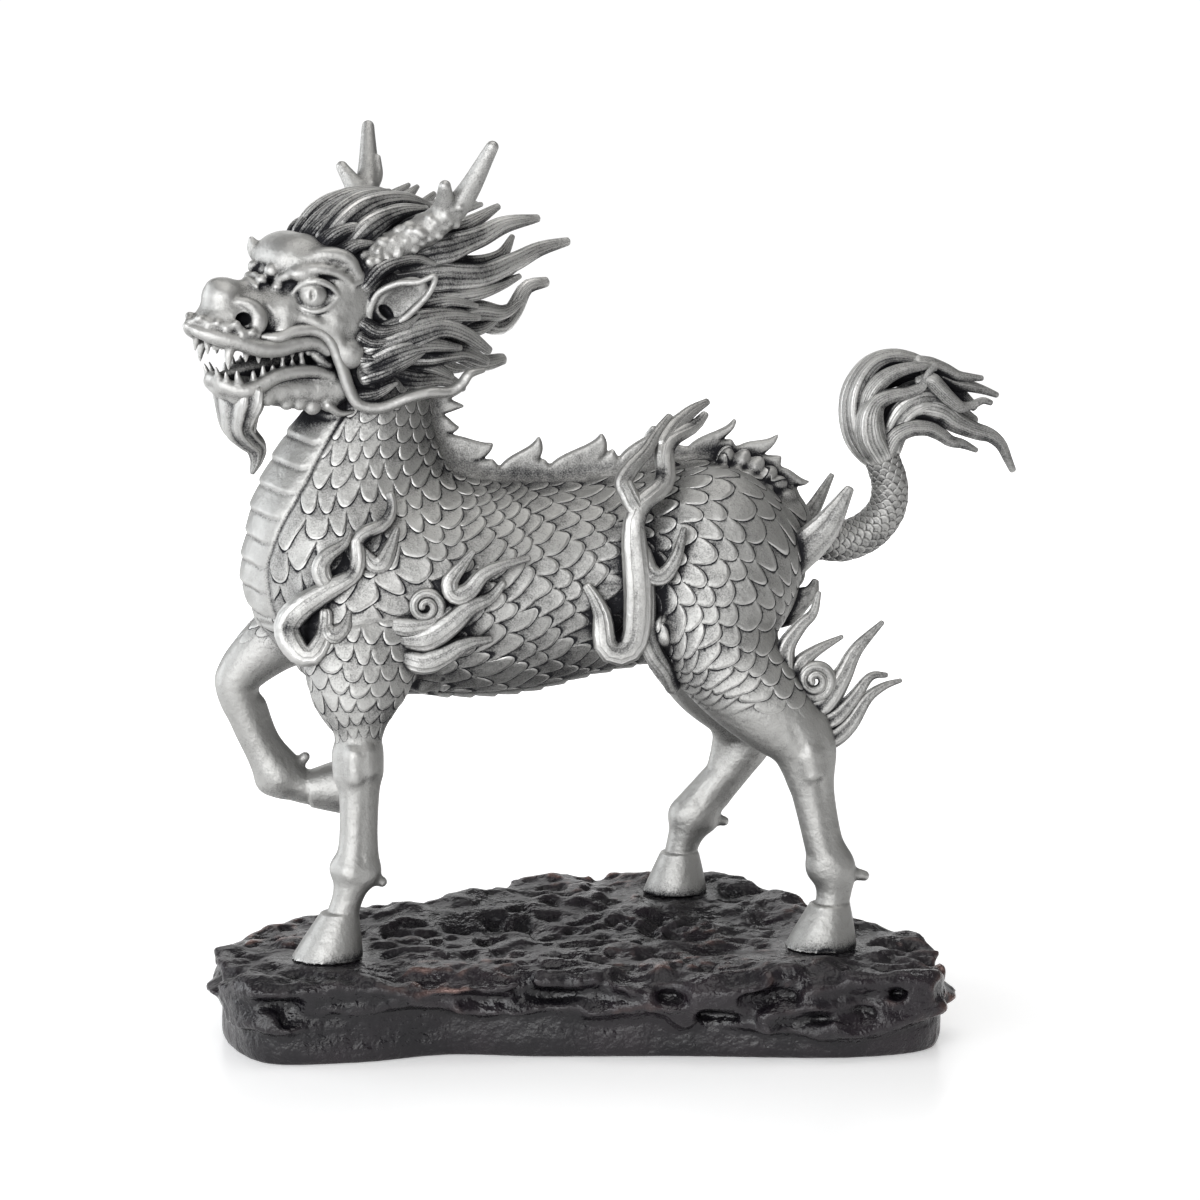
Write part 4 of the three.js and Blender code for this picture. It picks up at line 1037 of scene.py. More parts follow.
SIDE_LOCKS = [
    # over the crown
    ([[5.8, 1.4, 9.6], [3.6, 1.6, 12.6], [0.2, 1.4, 15], [-4.6, 1, 15.8]], 1.5, 0.35, 4),
    ([[5.2, 3, 9.8], [2.4, 3.2, 12.6], [-1.2, 2.8, 14.5], [-5.5, 2.6, 15.0], [-9.3, 2.6, 14.3]], 1.7, 0.3, 5),
    ([[3.4, 4.6, 9.4], [0.6, 5, 12], [-3.6, 4.6, 13.6], [-7.8, 4.6, 14.0]], 1.6, 0.35, 4),
    ([[-1.6, 2, 10], [-5, 1.6, 13.8], [-8.6, 1, 16.4]], 1.3, 0.25, 3),
    ([[-2.4, 5.4, 9.6], [-6, 6.4, 12.4], [-10, 7.6, 14], [-12.9, 9, 14.9]], 1.3, 0.25, 3),
    # long locks blown back
    ([[-1.4, 6.6, 8], [-6.1, 8, 9.3], [-8.8, 8.5, 9.7], [-12.7, 9, 10.9], [-16.1, 9.5, 12.4],
      [-20.6, 10, 13.1]], 1.75, 0.4, 4),
    ([[-2.4, 6, 7.4], [-7.4, 7.2, 7.8], [-12.7, 7.2, 7.1], [-17.0, 7.2, 8.2], [-18.9, 7, 10.6]], 1.8, 0.3, 5),
    ([[-0.6, 6, 5.4], [-3.5, 6.6, 5.9], [-7.7, 8, 6.3], [-12.9, 9, 6.2], [-17.8, 9.5, 7.8], [-21.3, 9.5, 9.2],
      [-25.2, 10, 10.1]], 1.8, 0.45, 4),
    ([[-1.4, 6.2, 3.6], [-5.7, 7.4, 4], [-11.2, 9.2, 4.1], [-15.5, 9.5, 4.9], [-18.2, 10, 6]], 1.5, 0.3, 5),
    ([[-0.4, 6.2, 2], [-4.3, 7.6, 2.4], [-8.3, 9.2, 3.3], [-12.2, 9.7, 2.5]], 1.3, 0.3, 4),
    ([[-3, 5, 1.4], [-8.5, 5.6, 1.1], [-15.1, 5.6, 0.2], [-18.6, 5.4, -0.6], [-20.8, 5.2, 1.2],
      [-22.6, 5, 3.8], [-25.6, 5, 4.4]], 1.8, 0.55, 4),
    ([[1.2, 7.6, -0.9], [-4, 9.3, 1], [-8.4, 9.6, 1.5], [-12.6, 9.5, 1.1]], 1.4, 0.45, 5),
    ([[1.9, 7.6, -2.4], [-2.8, 9.3, -0.8], [-6.9, 9.9, 0.1], [-10.5, 10, -0.9], [-14, 10, -3.1]], 1.5, 0.5,
     4),
    ([[2.2, 7.6, -4.2], [-1.4, 9.3, -2.4], [-5.3, 9.9, -1.9], [-9.8, 10, -2.5]], 1.4, 0.35, 4),
    ([[-3, 4.6, -1.4], [-10.8, 6, -3.1], [-15.3, 6.2, -5.1], [-18.8, 6, -4.9]], 1.6, 0.6, 4),
    ([[2.2, 7.2, -5.8], [-1.3, 8.8, -4.4], [-4.6, 9.8, -2.7]], 1.2, 0.3, 3),
    ([[-1, 5.6, -4.6], [-4.5, 7, -4.6], [-7.2, 8, -5.1], [-9.6, 8.5, -6.3]], 1.3, 0.4, 4),
    ([[3.4, 6.6, -8.4], [0.9, 7.8, -8], [-1.5, 8.8, -6.6]], 0.9, 0.25, 3),
    # short locks round the ear and the cheek
    ([[2.6, 7.2, 5.4], [0.6, 8, 7.6], [-3.2, 8.8, 8.6], [-6, 9.6, 7.9]], 1.1, 0.25, 3),
    ([[2.8, 7.7, 0.8], [1.2, 8.7, -0.2], [-1.6, 9.7, 0.4], [-3.6, 10.2, 1.8]], 0.8, 0.2, 3),
    ([[3.2, 7.8, -0.9], [1.8, 8.6, -1.6], [-0.6, 9.5, -1.2], [-2.6, 10, -0.1]], 0.7, 0.2, 3),
    ([[3, 7.8, -3.4], [1.2, 8.7, -3.5], [-1, 9.6, -3.4], [-3.2, 10.1, -2.4]], 0.75, 0.2, 3),
    ([[-4, 7.4, 1.2], [-9.5, 8.2, -0.2], [-13.4, 8.4, -0.6], [-16.4, 8.6, 0.8]], 1.3, 0.3, 4),
    ([[-4, 4, 8], [-10, 4.6, 9.4], [-14.4, 4.8, 10], [-17.6, 4.8, 12]], 1.6, 0.3, 4),
    ([[-5, 3, 4], [-11, 3.6, 4.2], [-16, 3.6, 5], [-19.4, 3.4, 6.6]], 1.8, 0.3, 4),
    # short locks at the hairline
    ([[6.8, 0.9, 9.6], [5.6, 1.5, 11.6], [3.6, 2.2, 13.2], [1.2, 2.4, 12.8]], 1.0, 0.25, 3),
    ([[6.4, 3.2, 9.4], [5, 4.4, 11.1], [2.8, 5.1, 12], [0.6, 4.9, 11.2]], 1.0, 0.25, 3),
    ([[5, 5.2, 8.6], [3.4, 6.3, 10], [1, 6.8, 10.3]], 0.9, 0.25, 3),
    # fuller hair between them
    ([[-2, 5.6, 6.2], [-7, 7.2, 5], [-12, 8, 4.6], [-17, 8, 6.2], [-20.4, 8, 8]], 1.7, 0.35, 5),
    ([[-2, 6.6, 0.2], [-7, 8.4, 0.4], [-12.4, 8.8, 1.8], [-16.6, 8.8, 1.4], [-19.4, 8.6, 2.6]], 1.7, 0.4, 5),
    ([[-1, 6.4, -2.6], [-6.4, 8, -3.4], [-11.4, 8.2, -3.4], [-15, 8, -4.8]], 1.6, 0.5, 5),
    ([[0, 6.2, -5.4], [-4.6, 7.4, -6.4], [-8.8, 7.8, -6.6], [-12, 7.6, -8]], 1.4, 0.4, 4),
    ([[-3.4, 3.6, 6.6], [-8.6, 5.4, 10.6], [-13, 6.6, 12.4], [-16.4, 7.4, 14.4]], 1.5, 0.35, 4),
]
MIDDLE_LOCKS = [
    ([[-2, 0, 10.6], [-8, 0, 13], [-14, 0, 13.2], [-18, 0, 14]], 1.9, 0.3, 5),
    ([[-6, 0, 7], [-12, 0, 9], [-16, 0, 9], [-19, 0, 10]], 1.9, 0.3, 5),
    ([[-8, 0, 3.6], [-13, 0, 4], [-17, 0, 3.4], [-20, 0, 4.4]], 1.9, 0.3, 5),
    ([[-8, 0, 0.6], [-13, 0, -0.8], [-17, 0, -2], [-20, 0, -1.6]], 1.9, 0.3, 5),
    ([[-6, 0, -2], [-11, 0, -4.6], [-15, 0, -6.6], [-18, 0, -6.8]], 1.8, 0.3, 5),
    ([[7.4, 0, 9], [5, 0.4, 12.2], [1.6, 0.3, 14.6], [-3.4, 0, 15.4]], 1.3, 0.25, 4),
]
LOCK_FULLNESS = 1.25
TIP_FULLNESS = 1.5
LOCK_GROOVES = 0.09


def mane_shells():
    shells = []
    for side in (LEFT, RIGHT):
        for n, (points, size, tip, grooves) in enumerate(SIDE_LOCKS):
            out = on_side(points, side)
            shells.append(lock(
                out, size * LOCK_FULLNESS, tip * TIP_FULLNESS, grooves, depth=LOCK_GROOVES, flat=0.75,
                across=(0.3, 0.9, 0.3 * side), twist=0.5 + 0.25 * (n % 3)))
    for points, size, tip, grooves in MIDDLE_LOCKS:
        shells.append(lock(points, size, tip, grooves, depth=LOCK_GROOVES, flat=0.9))
    return [(set_on_neck(shell), lines) for shell, lines in shells]


def beard_shells():
    shells = [beard_lock(0, 1.0, 0), beard_lock(1.0, 0.62, 1), beard_lock(-1.0, 0.62, 2)]
    return [(set_on_neck(shell), lines) for shell, lines in shells]


# Tail and tuft

TAIL = [
    [24.5, 0, 49.2, 3.4, 3.4], [28.4, 0, 49.2, 2.6, 2.6], [31.8, 0, 48.9, 2.5, 2.5],
    [35, 0, 50.2, 2.45, 2.4], [37.2, 0, 52.8, 2.3, 2.3], [37.6, 0, 56, 2.2, 2.2],
    [36.6, 0, 59.2, 2.1, 2.1], [35.6, 0, 61.6, 2.1, 2.2],
]
TUFT = [
    # line, half width in side view and its course along the line, depth as a share of it, grooves
    ([[35.6, 0.8, 59.8], [34.1, 0.8, 61.8], [33.2, 0.8, 64.8], [33.5, 0.8, 68], [35.2, 0.8, 70.8],
      [37.6, 0.8, 71.9], [40.4, 0.8, 71.6], [42.8, 0.8, 70.6]], 1.9,
     (0.9, 1.0, 0.95, 0.9, 0.75, 0.55, 0.45, 0.3), 1.25, 7),
    ([[36.1, -1.4, 59.8], [34.9, -1.8, 62.1], [34.7, -2, 64.7], [35.6, -2, 66.6], [37.4, -2, 67.4],
      [39.3, -2, 67.7], [41.1, -2, 68.5], [41.9, -2, 70.0], [42.9, -1.9, 71.2]],
     1.7, (0.9, 1.0, 0.98, 0.85, 0.62, 0.48, 0.42, 0.36, 0.26, 0.2), 0.8, 6),
    ([[33.9, -1.2, 65.0], [35.0, -1.4, 67.9], [36.7, -1.4, 69.6], [39.0, -1.4, 70.6], [41.3, -1.4, 70.9],
      [42.9, -1.2, 70.6]], 1.0, (0.8, 1.0, 1.0, 0.8, 0.6, 0.35), 1.0, 5),
    ([[36.7, -1.0, 59.8], [37.9, -1.2, 62.1], [39.9, -1.2, 63.2], [42.1, -1.1, 63.2], [43.8, -1, 62.4],
      [45.1, -0.9, 61.5], [46.7, -0.8, 61.1], [48.4, -0.8, 60.3]], 1.0,
     (1.1, 1.1, 1.0, 0.95, 0.85, 0.7, 0.55, 0.3), 1.0, 5),
    ([[36.8, -0.4, 61.0], [38.3, -0.4, 64.0], [40.9, -0.4, 65.6], [43.9, -0.4, 65.2], [45.8, -0.4, 63.9],
      [48.1, -0.4, 62.8], [50.1, -0.4, 62.2], [51.6, -0.4, 61.0], [52.5, -0.4, 59.2], [53.2, -0.4, 57.7]],
     1.35, (0.9, 1.0, 1.0, 1.0, 1.1, 1.0, 0.8, 0.65, 0.55, 0.42, 0.3), 0.9, 6),
    ([[40.7, -1.6, 69.1], [42.3, -1.8, 69.2], [43.3, -1.8, 68.3], [44.6, -1.7, 67.0], [46.1, -1.6, 65.9],
      [47.5, -1.5, 66.0], [49.0, -1.4, 66.6], [50.1, -1.4, 66.3]], 0.9,
     (0.6, 1.0, 1.0, 0.95, 0.85, 0.6, 0.5, 0.35), 0.8, 4),
    ([[40.9, 0.2, 71.3], [42.5, 0.2, 71.0], [44.5, 0.1, 70.3], [46.1, 0, 69.6], [47.8, 0, 69.4],
      [49.1, 0, 69.3]], 0.8, (1.0, 1.1, 1.0, 0.8, 0.6, 0.4), 1.2, 4),
    ([[42.4, 0.9, 70.2], [45.7, 0.9, 68.7], [47.9, 0.8, 68.2], [49.6, 0.8, 67.7], [51.2, 0.8, 67.1]],
     0.85, (1.1, 1.1, 0.9, 0.65, 0.4), 1.2, 4),
    ([[36.9, 0.9, 60.4], [37.6, 0.9, 62.8], [39.2, 0.9, 65.4], [41.8, 0.9, 66.6], [44.4, 0.9, 65.8],
      [46.6, 0.9, 64.6], [48.4, 0.9, 63.9]], 1.7, (1.0, 1.1, 1.2, 1.2, 1.0, 0.7, 0.3), 1.1, 7),
    ([[36.2, 2.0, 60], [35.0, 2.2, 62.4], [34.8, 2.3, 66.4], [36.5, 2.3, 69.1], [39.7, 2.3, 70.0],
      [42.9, 2.2, 69.3], [45.9, 2, 67.6], [48.6, 1.8, 65.5]], 1.5, (0.9, 1.0, 1.0, 0.9, 0.9, 0.8, 0.6, 0.3),
     0.9, 6),
    ([[36.8, 2, 60], [38.6, 2.4, 64], [42, 2.4, 65.8], [45.6, 2.2, 64.6], [48.6, 2, 62.4], [51.4, 1.8, 61.4]],
     1.3, (1.0, 1.1, 1.1, 1.0, 0.7, 0.3), 0.9, 5),
]
TUFT_FULLNESS = 1.14
# The last locks of the list fill the tuft from behind
TUFT_BACK_LOCKS = 3
TUFT_BACK_FULLNESS = 1.3
TUFT_GROOVES = 0.06


def tail_shell():
    """The tail's tube with rings of fine scales"""
    shell = tube(TAIL, sides=96, per=32)
    points, quads, triangles = shell
    rows, columns, share = limb_lattice(points, TAIL, *TAIL_SCALES)
    height, groove = scale_profile(rows, columns)
    strength = smoothstep(share, 1.0, 0.9)
    points = points + vertex_normals(shell) * (TAIL_SCALE_RISE * height * strength)[:, None]
    return (points, quads, triangles), np.column_stack([rows, columns, strength]), groove * strength


def tuft_shells():
    shells = []
    for n, (points, size, course, thick, grooves) in enumerate(TUFT):
        fullness = TUFT_BACK_FULLNESS if n >= len(TUFT) - TUFT_BACK_LOCKS else TUFT_FULLNESS
        shells.append(lock(
            points, size * fullness, 0, grooves, depth=TUFT_GROOVES, flat=thick, twist=0.3 + 0.2 * (n % 3),
            sides=44, rings=40, sizes=course))
    return shells


# Crest of flame-like fins on a ridge, in side view: root start, tip, notch behind the tip, small lobe

FINS = [
    [[-17.9, 68.6], [-15.1, 68.6], [-17.6, 67.4], [-17.7, 67.3]],
    [[-17.8, 67.3], [-15.2, 66.2], [-18.4, 65.5], [-18.5, 65.4]],
    [[-18.6, 65.3], [-16.2, 63.8], [-17.9, 63.0], [-18.1, 62.9]],
    [[-18.1, 62.8], [-12.3, 61.9], [-14.7, 59.4], [-12.5, 59.8]],
    [[-11.6, 58.7], [-6.7, 62.8], [-6.7, 59.6], [-6.0, 59.7]],
    [[-5.3, 58.9], [1.1, 63.0], [1.2, 59.7], [2.6, 61.0]],
    [[3.3, 59.7], [9.7, 65.1], [10.0, 61.9], [11.0, 61.2]],
    [[12.0, 61.0], [17.9, 64.8], [16.1, 61.7], [17.5, 62.0]],
    [[18.1, 60.9], [23.5, 62.8], [21.3, 59.9], [23.9, 59.8]],
    [[23.7, 58.4], [27.8, 56.6], [25.3, 56.0], [25.9, 55.4]],
]
CREST_FOOT = [[25.4, 53], [18, 56.5], [10, 57.5], [-4, 55.5], [-13, 56.5], [-20.5, 60.5], [-21, 69]]
RIDGE = [
    [-21.6, 0, 68, 1.5, 1.0], [-20.8, 0, 61.6, 1.6, 1.1], [-13.4, 0, 56.2, 1.6, 1.2], [-2, 0, 55.8, 1.6, 1.2],
    [10, 0, 57.6, 1.8, 1.3], [18.6, 0, 57.2, 2.0, 1.5], [24.4, 0, 52.6, 1.9, 1.7],
]
RUMP_LEAVES = [(16.4, 59.4), (18.2, 59.1), (19.8, 58.4), (21.2, 57.4), (22.4, 56.2), (23.4, 54.7), (24, 53)]


def bezier(points, share):
    a, b, c, d = (np.array(p, float) for p in points)
    t = share[:, None]
    return a * (1 - t) ** 3 + 3 * b * t * (1 - t) ** 2 + 3 * c * t ** 2 * (1 - t) + d * t ** 3


def crest_outline():
    """Round all fins in turn: a bowed front edge, a steep rear edge and a small lobe, then back underneath"""
    outline = []
    for n, (start, tip, notch, lobe) in enumerate(FINS):
        start, tip, notch, lobe = (np.array(p, float) for p in (start, tip, notch, lobe))
        follow = np.array(FINS[n + 1][0] if n + 1 < len(FINS) else CREST_FOOT[0], float)
        along = unit(follow - start)
        out = np.array([-along[1], along[0]])
        length = (tip - start) @ along
        height = (tip - start) @ out
        share = np.arange(12) / 12
        first = start + along * 0.25 * length + out * 0.5 * height
        second = start + along * 0.88 * length + out * 0.5 * height
        outline.append(bezier([start, first, second, tip], share))
        share = np.arange(8) / 8
        first = tip + along * 0.14 * length - out * 0.3 * height
        second = notch + along * 0.16 * length + out * 0.2 * height
        outline.append(bezier([tip, first, second, notch], share))
        share = np.arange(5) / 5
        outline.append(bezier([notch, notch + 0.3 * (lobe - notch), lobe, lobe], share))
        outline.append(bezier([lobe, lobe + 0.5 * (follow - lobe) + 0.15 * out, follow, follow], share))
    return np.vstack([*outline, CREST_FOOT])


def crest_into(body):
    body.shell(tube(RIDGE, sides=48, per=8), 2.6)
    body.plate(crest_outline(), 0.75, 0.5, 0.9)
    # two rows of curled leaves beside the crest over the rump
    for side in (NEAR, FAR):
        out = np.array([0, side, 0.0])
        for x, z in RUMP_LEAVES:
            turn = math.radians(np.interp(x, [16, 24], [80, 5]))
            long_axis = np.array([math.cos(turn), 0, math.sin(turn)])
            axes = [long_axis, out, np.cross(long_axis, out)]
            place = np.array([x, side * 2.3, z])
            body.oval(place, [1.9, 1.35, 1.05], 0.3, axes=axes)
            body.oval(place + 1.3 * out - 2.0 * long_axis, [1.7, 1.1, 1.0], 0.3, axes=axes)


# Flames and ribbons that lie on the body: lines with half thickness at the root and the tip

CHEST_STEM = [
    [-33.4, 13, 42.6], [-33.6, 13.2, 40], [-35.2, 13.3, 37.6], [-37, 12.8, 38.3], [-38.1, 12, 40.9],
    [-36.3, 12.4, 43.4], [-32.5, 12.8, 45.8], [-30, 12.6, 47.3], [-29.4, 12.4, 49.4], [-29.6, 12, 50.9],
    [-28.6, 11.6, 52.2], [-26.2, 11, 53.2], [-25.2, 10.4, 55], [-25.4, 10, 56.6],
]
SHOULDER_FLAMES = [
    ([[-30.5, 12.6, 46.2], [-33.1, 12.8, 46.3], [-33.9, 12.6, 48], [-33.2, 12.4, 49.5], [-31.1, 12.2, 51],
      [-30.4, 11.8, 52.4]], 0.95, 0.35),
    ([[-28.9, 12, 50.4], [-27.8, 12.2, 48.7], [-26.6, 12.3, 48.6], [-25.6, 12, 50.3], [-24.7, 11.6, 52.6]],
     1.0, 0.3),
    ([[-33.6, 13.4, 41.8], [-32.6, 13.7, 40.2], [-31.2, 13.7, 41], [-30.6, 13.4, 42.8]], 0.95, 0.4),
    ([[-26, 12, 38.8], [-24.5, 12.8, 39.2], [-21.4, 13.4, 39.4], [-18.5, 13.8, 41.2], [-16.2, 13.8, 43.2],
      [-13.5, 13.6, 44.4], [-12, 13.4, 46.1]], 1.25, 0.35),
    ([[-15.6, 13.6, 50], [-16.8, 13.6, 48.5], [-18.4, 13.8, 46.4], [-17.8, 14, 44.8], [-16.1, 14, 45.4],
      [-14.5, 14, 47.2], [-12.1, 13.8, 48.3], [-8.9, 13.4, 49.1]], 0.95, 0.35),
    ([[-26, 11.8, 37.2], [-23.6, 12.8, 36.9], [-21.6, 13.2, 36.5], [-19.3, 13.4, 37.3], [-16.6, 13.5, 38.7],
      [-13.6, 13.3, 39.2]], 1.2, 0.35),
    ([[-27.6, 11.8, 40.6], [-25.4, 12.8, 41], [-23.4, 13.3, 40.9], [-20.6, 13.7, 41.4],
      [-18.4, 13.8, 43.2]], 1.0, 0.5),
]
# Place, radius, thickness of the cord, turns, and the angle it starts at
SHOULDER_CURL = ([-21.4, 13.7, 43.4], 2.2, 0.72, 1.75, -1.7)
RIBBON_STEM = [
    [-1.6, 12.6, 45.4], [-0.6, 12.7, 43.8], [0.3, 12.8, 41.4], [0.3, 12.8, 39], [1.7, 12.7, 37.2],
    [3.7, 12.8, 37.9], [4.4, 13, 40.7], [4.5, 13.2, 45], [4.3, 13.2, 48.4], [4.0, 13, 52], [4.4, 12.6, 54.5],
    [5.9, 11.8, 56.1], [7.6, 10.8, 57.3], [8.3, 9.8, 58.8], [8.1, 8.8, 60.9], [8.6, 7.8, 62.4], [10, 7, 63.4],
    [12, 6, 64.1], [13.5, 5.2, 65.5],
]
RIBBON_BRANCHES = [
    ([[4.2, 12.6, 55], [3.4, 12, 56.6], [2.9, 11.2, 58.2], [4.2, 10.4, 60], [5.9, 9.2, 61.6],
      [7.6, 7.6, 63.9], [9, 6.4, 65.4]], 1.05, 0.45),
    ([[8.2, 8, 62.2], [9.7, 6.6, 64.2], [11.7, 5.4, 65.9], [13.9, 4, 67]], 1.15, 0.4),
    ([[4.8, 13, 49.6], [5.8, 13.4, 47.3], [7.4, 13.7, 46.8], [9, 13.7, 48.8], [10.1, 13.2, 52.4]], 1.15,
     0.35),
    ([[4.8, 12.6, 48], [5, 12.6, 43.7], [5.4, 12.4, 40], [6.4, 12.2, 37.1], [8, 11.6, 34.7], [9, 10.6, 32.5]],
     1.5, 1.0),
]
HOCK_CURL = ([26.4, 12.5, 33.4], 2.35, 0.8, 1.9, -2.2)
HOCK_FLAMES = [
    ([[22.6, 11.4, 31.6], [22.6, 11.9, 34.6], [22.9, 12.1, 37.6], [24.7, 12.1, 40.2], [26.2, 12.1, 41.7],
      [26.9, 12.1, 44.2]], 1.25, 0.3),
    ([[24, 11.8, 33], [24.7, 12, 35.4], [26.6, 12.1, 37], [29.8, 12.1, 38.7]], 0.95, 0.25),
    ([[24.8, 11.6, 29.4], [27.4, 12, 30.3], [29.8, 12, 33.6], [31.6, 12, 37], [34.8, 12, 40.4]], 1.4, 0.3),
    ([[24.6, 11.4, 27.4], [28.6, 12, 28.4], [31.2, 12, 30.8], [33.4, 12, 33.6], [35.4, 12, 33.8]], 1.2, 0.3),
    ([[24.8, 11.6, 25.6], [28.4, 12, 26], [30.9, 12, 27.8], [33, 12, 30.9], [35.1, 12, 32.4],
      [37.2, 12, 33.1]], 1.2, 0.25),
]
RUMP_SPIKES = [
    ([[22.4, 4.2, 45], [24.2, 5, 47.2], [26.6, 5.8, 49.4], [28.8, 6.4, 51.9], [31.4, 7, 56.4]], 2.4, 0.3),
    ([[22.8, 4, 39.8], [24, 4.8, 40.8], [25.6, 5, 42.2], [27, 5, 43.2], [27.6, 4.8, 44.6]], 1.8, 0.3),
]
CHEST_FAR_FLAME = ([[-39.6, -9, 48.6], [-41.2, -10, 45.4], [-40.8, -10, 42.6], [-39.6, -10, 40.6]], 0.9, 0.3)
FLAME_LIFT = 0.15
# Sizes along a line, as shares of its root size
CHEST_COURSE = (0.5, 0.75, 0.95, 1, 0.8, 0.6, 0.55, 0.5, 0.32)
SHOULDER_COURSE = (0.35, 0.75, 1.15, 1.2, 1.05, 0.85, 0.6, 0.4)
RIBBON_COURSE = (0.35, 0.6, 0.8, 0.9, 0.95, 1, 1, 1, 0.9, 0.75, 0.7, 0.7, 0.72, 0.7, 0.55, 0.3)
SPIKE_COURSE = (0.8, 1, 0.95, 0.8, 0.55, 0.25)


def flame(points, root, tip, side, flat=0.9, grooves=0, depth=0.05, sizes=None):
    """A rounded, narrowing ribbon, and the strand lines of its points"""
    line = [[x, side * (y + FLAME_LIFT), z] for x, y, z in points]
    stations, size = taper(line, root, tip, power=1.6, swell=0.1)
    if sizes:
        size = root * course_of(sizes, len(size))
    stations = np.column_stack([stations, size, size * flat])

    def relief(angle, share):
        ridge = 1 + 0.07 * np.cos(3 * angle + 1.2 + 2 * share)
        if grooves:
            ridge = ridge + depth * np.cos(grooves * angle) * (1 - 0.7 * share)
        return ridge

    shell = tube(stations, sides=24, count=38, bulge=1, relief=relief)
    return shell, strands(shell, 24)


def curl(place, radius, cord, turns, start, side):
    """A cord wound into a flat spiral"""
    x, y, z = place
    count = int(turns * 10)
    stations = []
    for i in range(count + 1):
        share = i / count
        angle = start + turns * 2 * math.pi * share
        reach = radius * (1 - 0.8 * share)
        size = cord * (1 - 0.35 * share)
        out = side * (y + 0.5 * share)
        stations.append([x + reach * math.cos(angle), out, z + reach * math.sin(angle), size, size])
    shell = tube(stations, sides=20, count=60, bulge=1)
    return shell, strands(shell, 20)


def flame_shells():
    shells = []
    for side in (NEAR, FAR):
        shells.append(flame(CHEST_STEM, 1.7, 0, side, flat=0.95, sizes=CHEST_COURSE))
        for points, root, tip in SHOULDER_FLAMES:
            shells.append(flame(points, root, tip, side, grooves=2, sizes=SHOULDER_COURSE))
        shells.append(curl(*SHOULDER_CURL, side))
        # the far side's ribbon is plainer and ends lower
        stem = RIBBON_STEM if side == NEAR else RIBBON_STEM[:-3]
        branches = RIBBON_BRANCHES if side == NEAR else RIBBON_BRANCHES[2:]
        shells.append(flame(stem, 1.75, 0, side, flat=0.85, sizes=RIBBON_COURSE))
        for points, root, tip in branches:
            shells.append(flame(points, root * 1.12, tip + 0.1, side, flat=0.85, grooves=2))
        for points, root, tip in RUMP_SPIKES:
            size = root if side == NEAR else 0.6 * root
            shells.append(flame(points, size, tip, side, flat=0.45, sizes=SPIKE_COURSE))
    for points, root, tip in HOCK_FLAMES:
        shells.append(flame(points, root * 1.2, tip + 0.05, NEAR, flat=0.7, grooves=6, depth=0.12))
    shells.append(curl(*HOCK_CURL, NEAR))
    # its sides are drawn mirrored, so this one lies on the far side
    shells.append(flame(*CHEST_FAR_FLAME, NEAR, flat=0.8))
    return shells


# Rock base

ROCK_OUTLINE = [
    [-1, -0.35], [-0.93, 0.12], [-0.64, 0.42], [-0.36, 0.46], [-0.2, 0.8], [0.04, 1], [0.36, 0.8],
    [0.58, 0.64], [0.72, 0.2], [0.88, -0.14], [0.96, -0.6], [0.9, -0.9], [0.66, -1], [0.2, -0.9],
    [-0.14, -0.86], [-0.38, -0.8], [-0.62, -0.88], [-0.88, -0.84],
]
# Ends and sides: the middle of the outermost sole, and the rock's reach beyond it
ROCK_FRONT = -33.8 - 14.2
ROCK_REAR = 27.4 + 17
ROCK_NEAR = -13.2 - 13.8
ROCK_FAR = 12.7 + 12.3
ROCK_BOTTOM = -SOLE_LEVEL / HUNDREDTH
GAP = HOOF_CLEARANCE / HUNDREDTH
ROCK_STEP = 0.36
TOP_RELIEF = 10.8
PIT_DEPTH = 1.3
PIT_RIM = 0.5
TOP_EDGE_BLEND = 1.6
BOTTOM_EDGE_BLEND = 0.3
# Middle of each standing sole, its reach, and its level
FLATS = [(-33.8, -13.2, 5.0, 0.0), (27.4, -13.2, 5.1, 0.0), (12, 12.7, 4.8, 1.0)]
PITS = [
    (3.4, -1.2, 1.5), (5.6, -3.2, 1.3), (8.2, -2.6, 1.6), (10.6, -3.8, 1.1), (6.8, -5.4, 1.0),
    (1.2, -3.4, 1.1), (12.6, -1.6, 1.2), (-2.4, -2.2, 0.9), (9.6, -6, 0.8),
]


def lattice_noise(axes, cells, seed):
    """Smooth noise between -1 and 1 on a grid, from a coarse lattice of random values"""
    rng = np.random.default_rng(seed)
    weights = []
    for axis, cell in zip(axes, cells):
        place = (axis - axis[0]) / cell
        count = int(place[-1]) + 3
        base = place.astype(int)
        share = place - base
        share = share * share * (3 - 2 * share)
        matrix = np.zeros((len(axis), count), np.float32)
        matrix[np.arange(len(axis)), base] = 1 - share
        matrix[np.arange(len(axis)), base + 1] = share
        weights.append(matrix)
    values = rng.uniform(-1, 1, [m.shape[1] for m in weights]).astype(np.float32)
    for matrix in weights:
        values = np.tensordot(values, matrix, axes=([0], [1]))
    return values


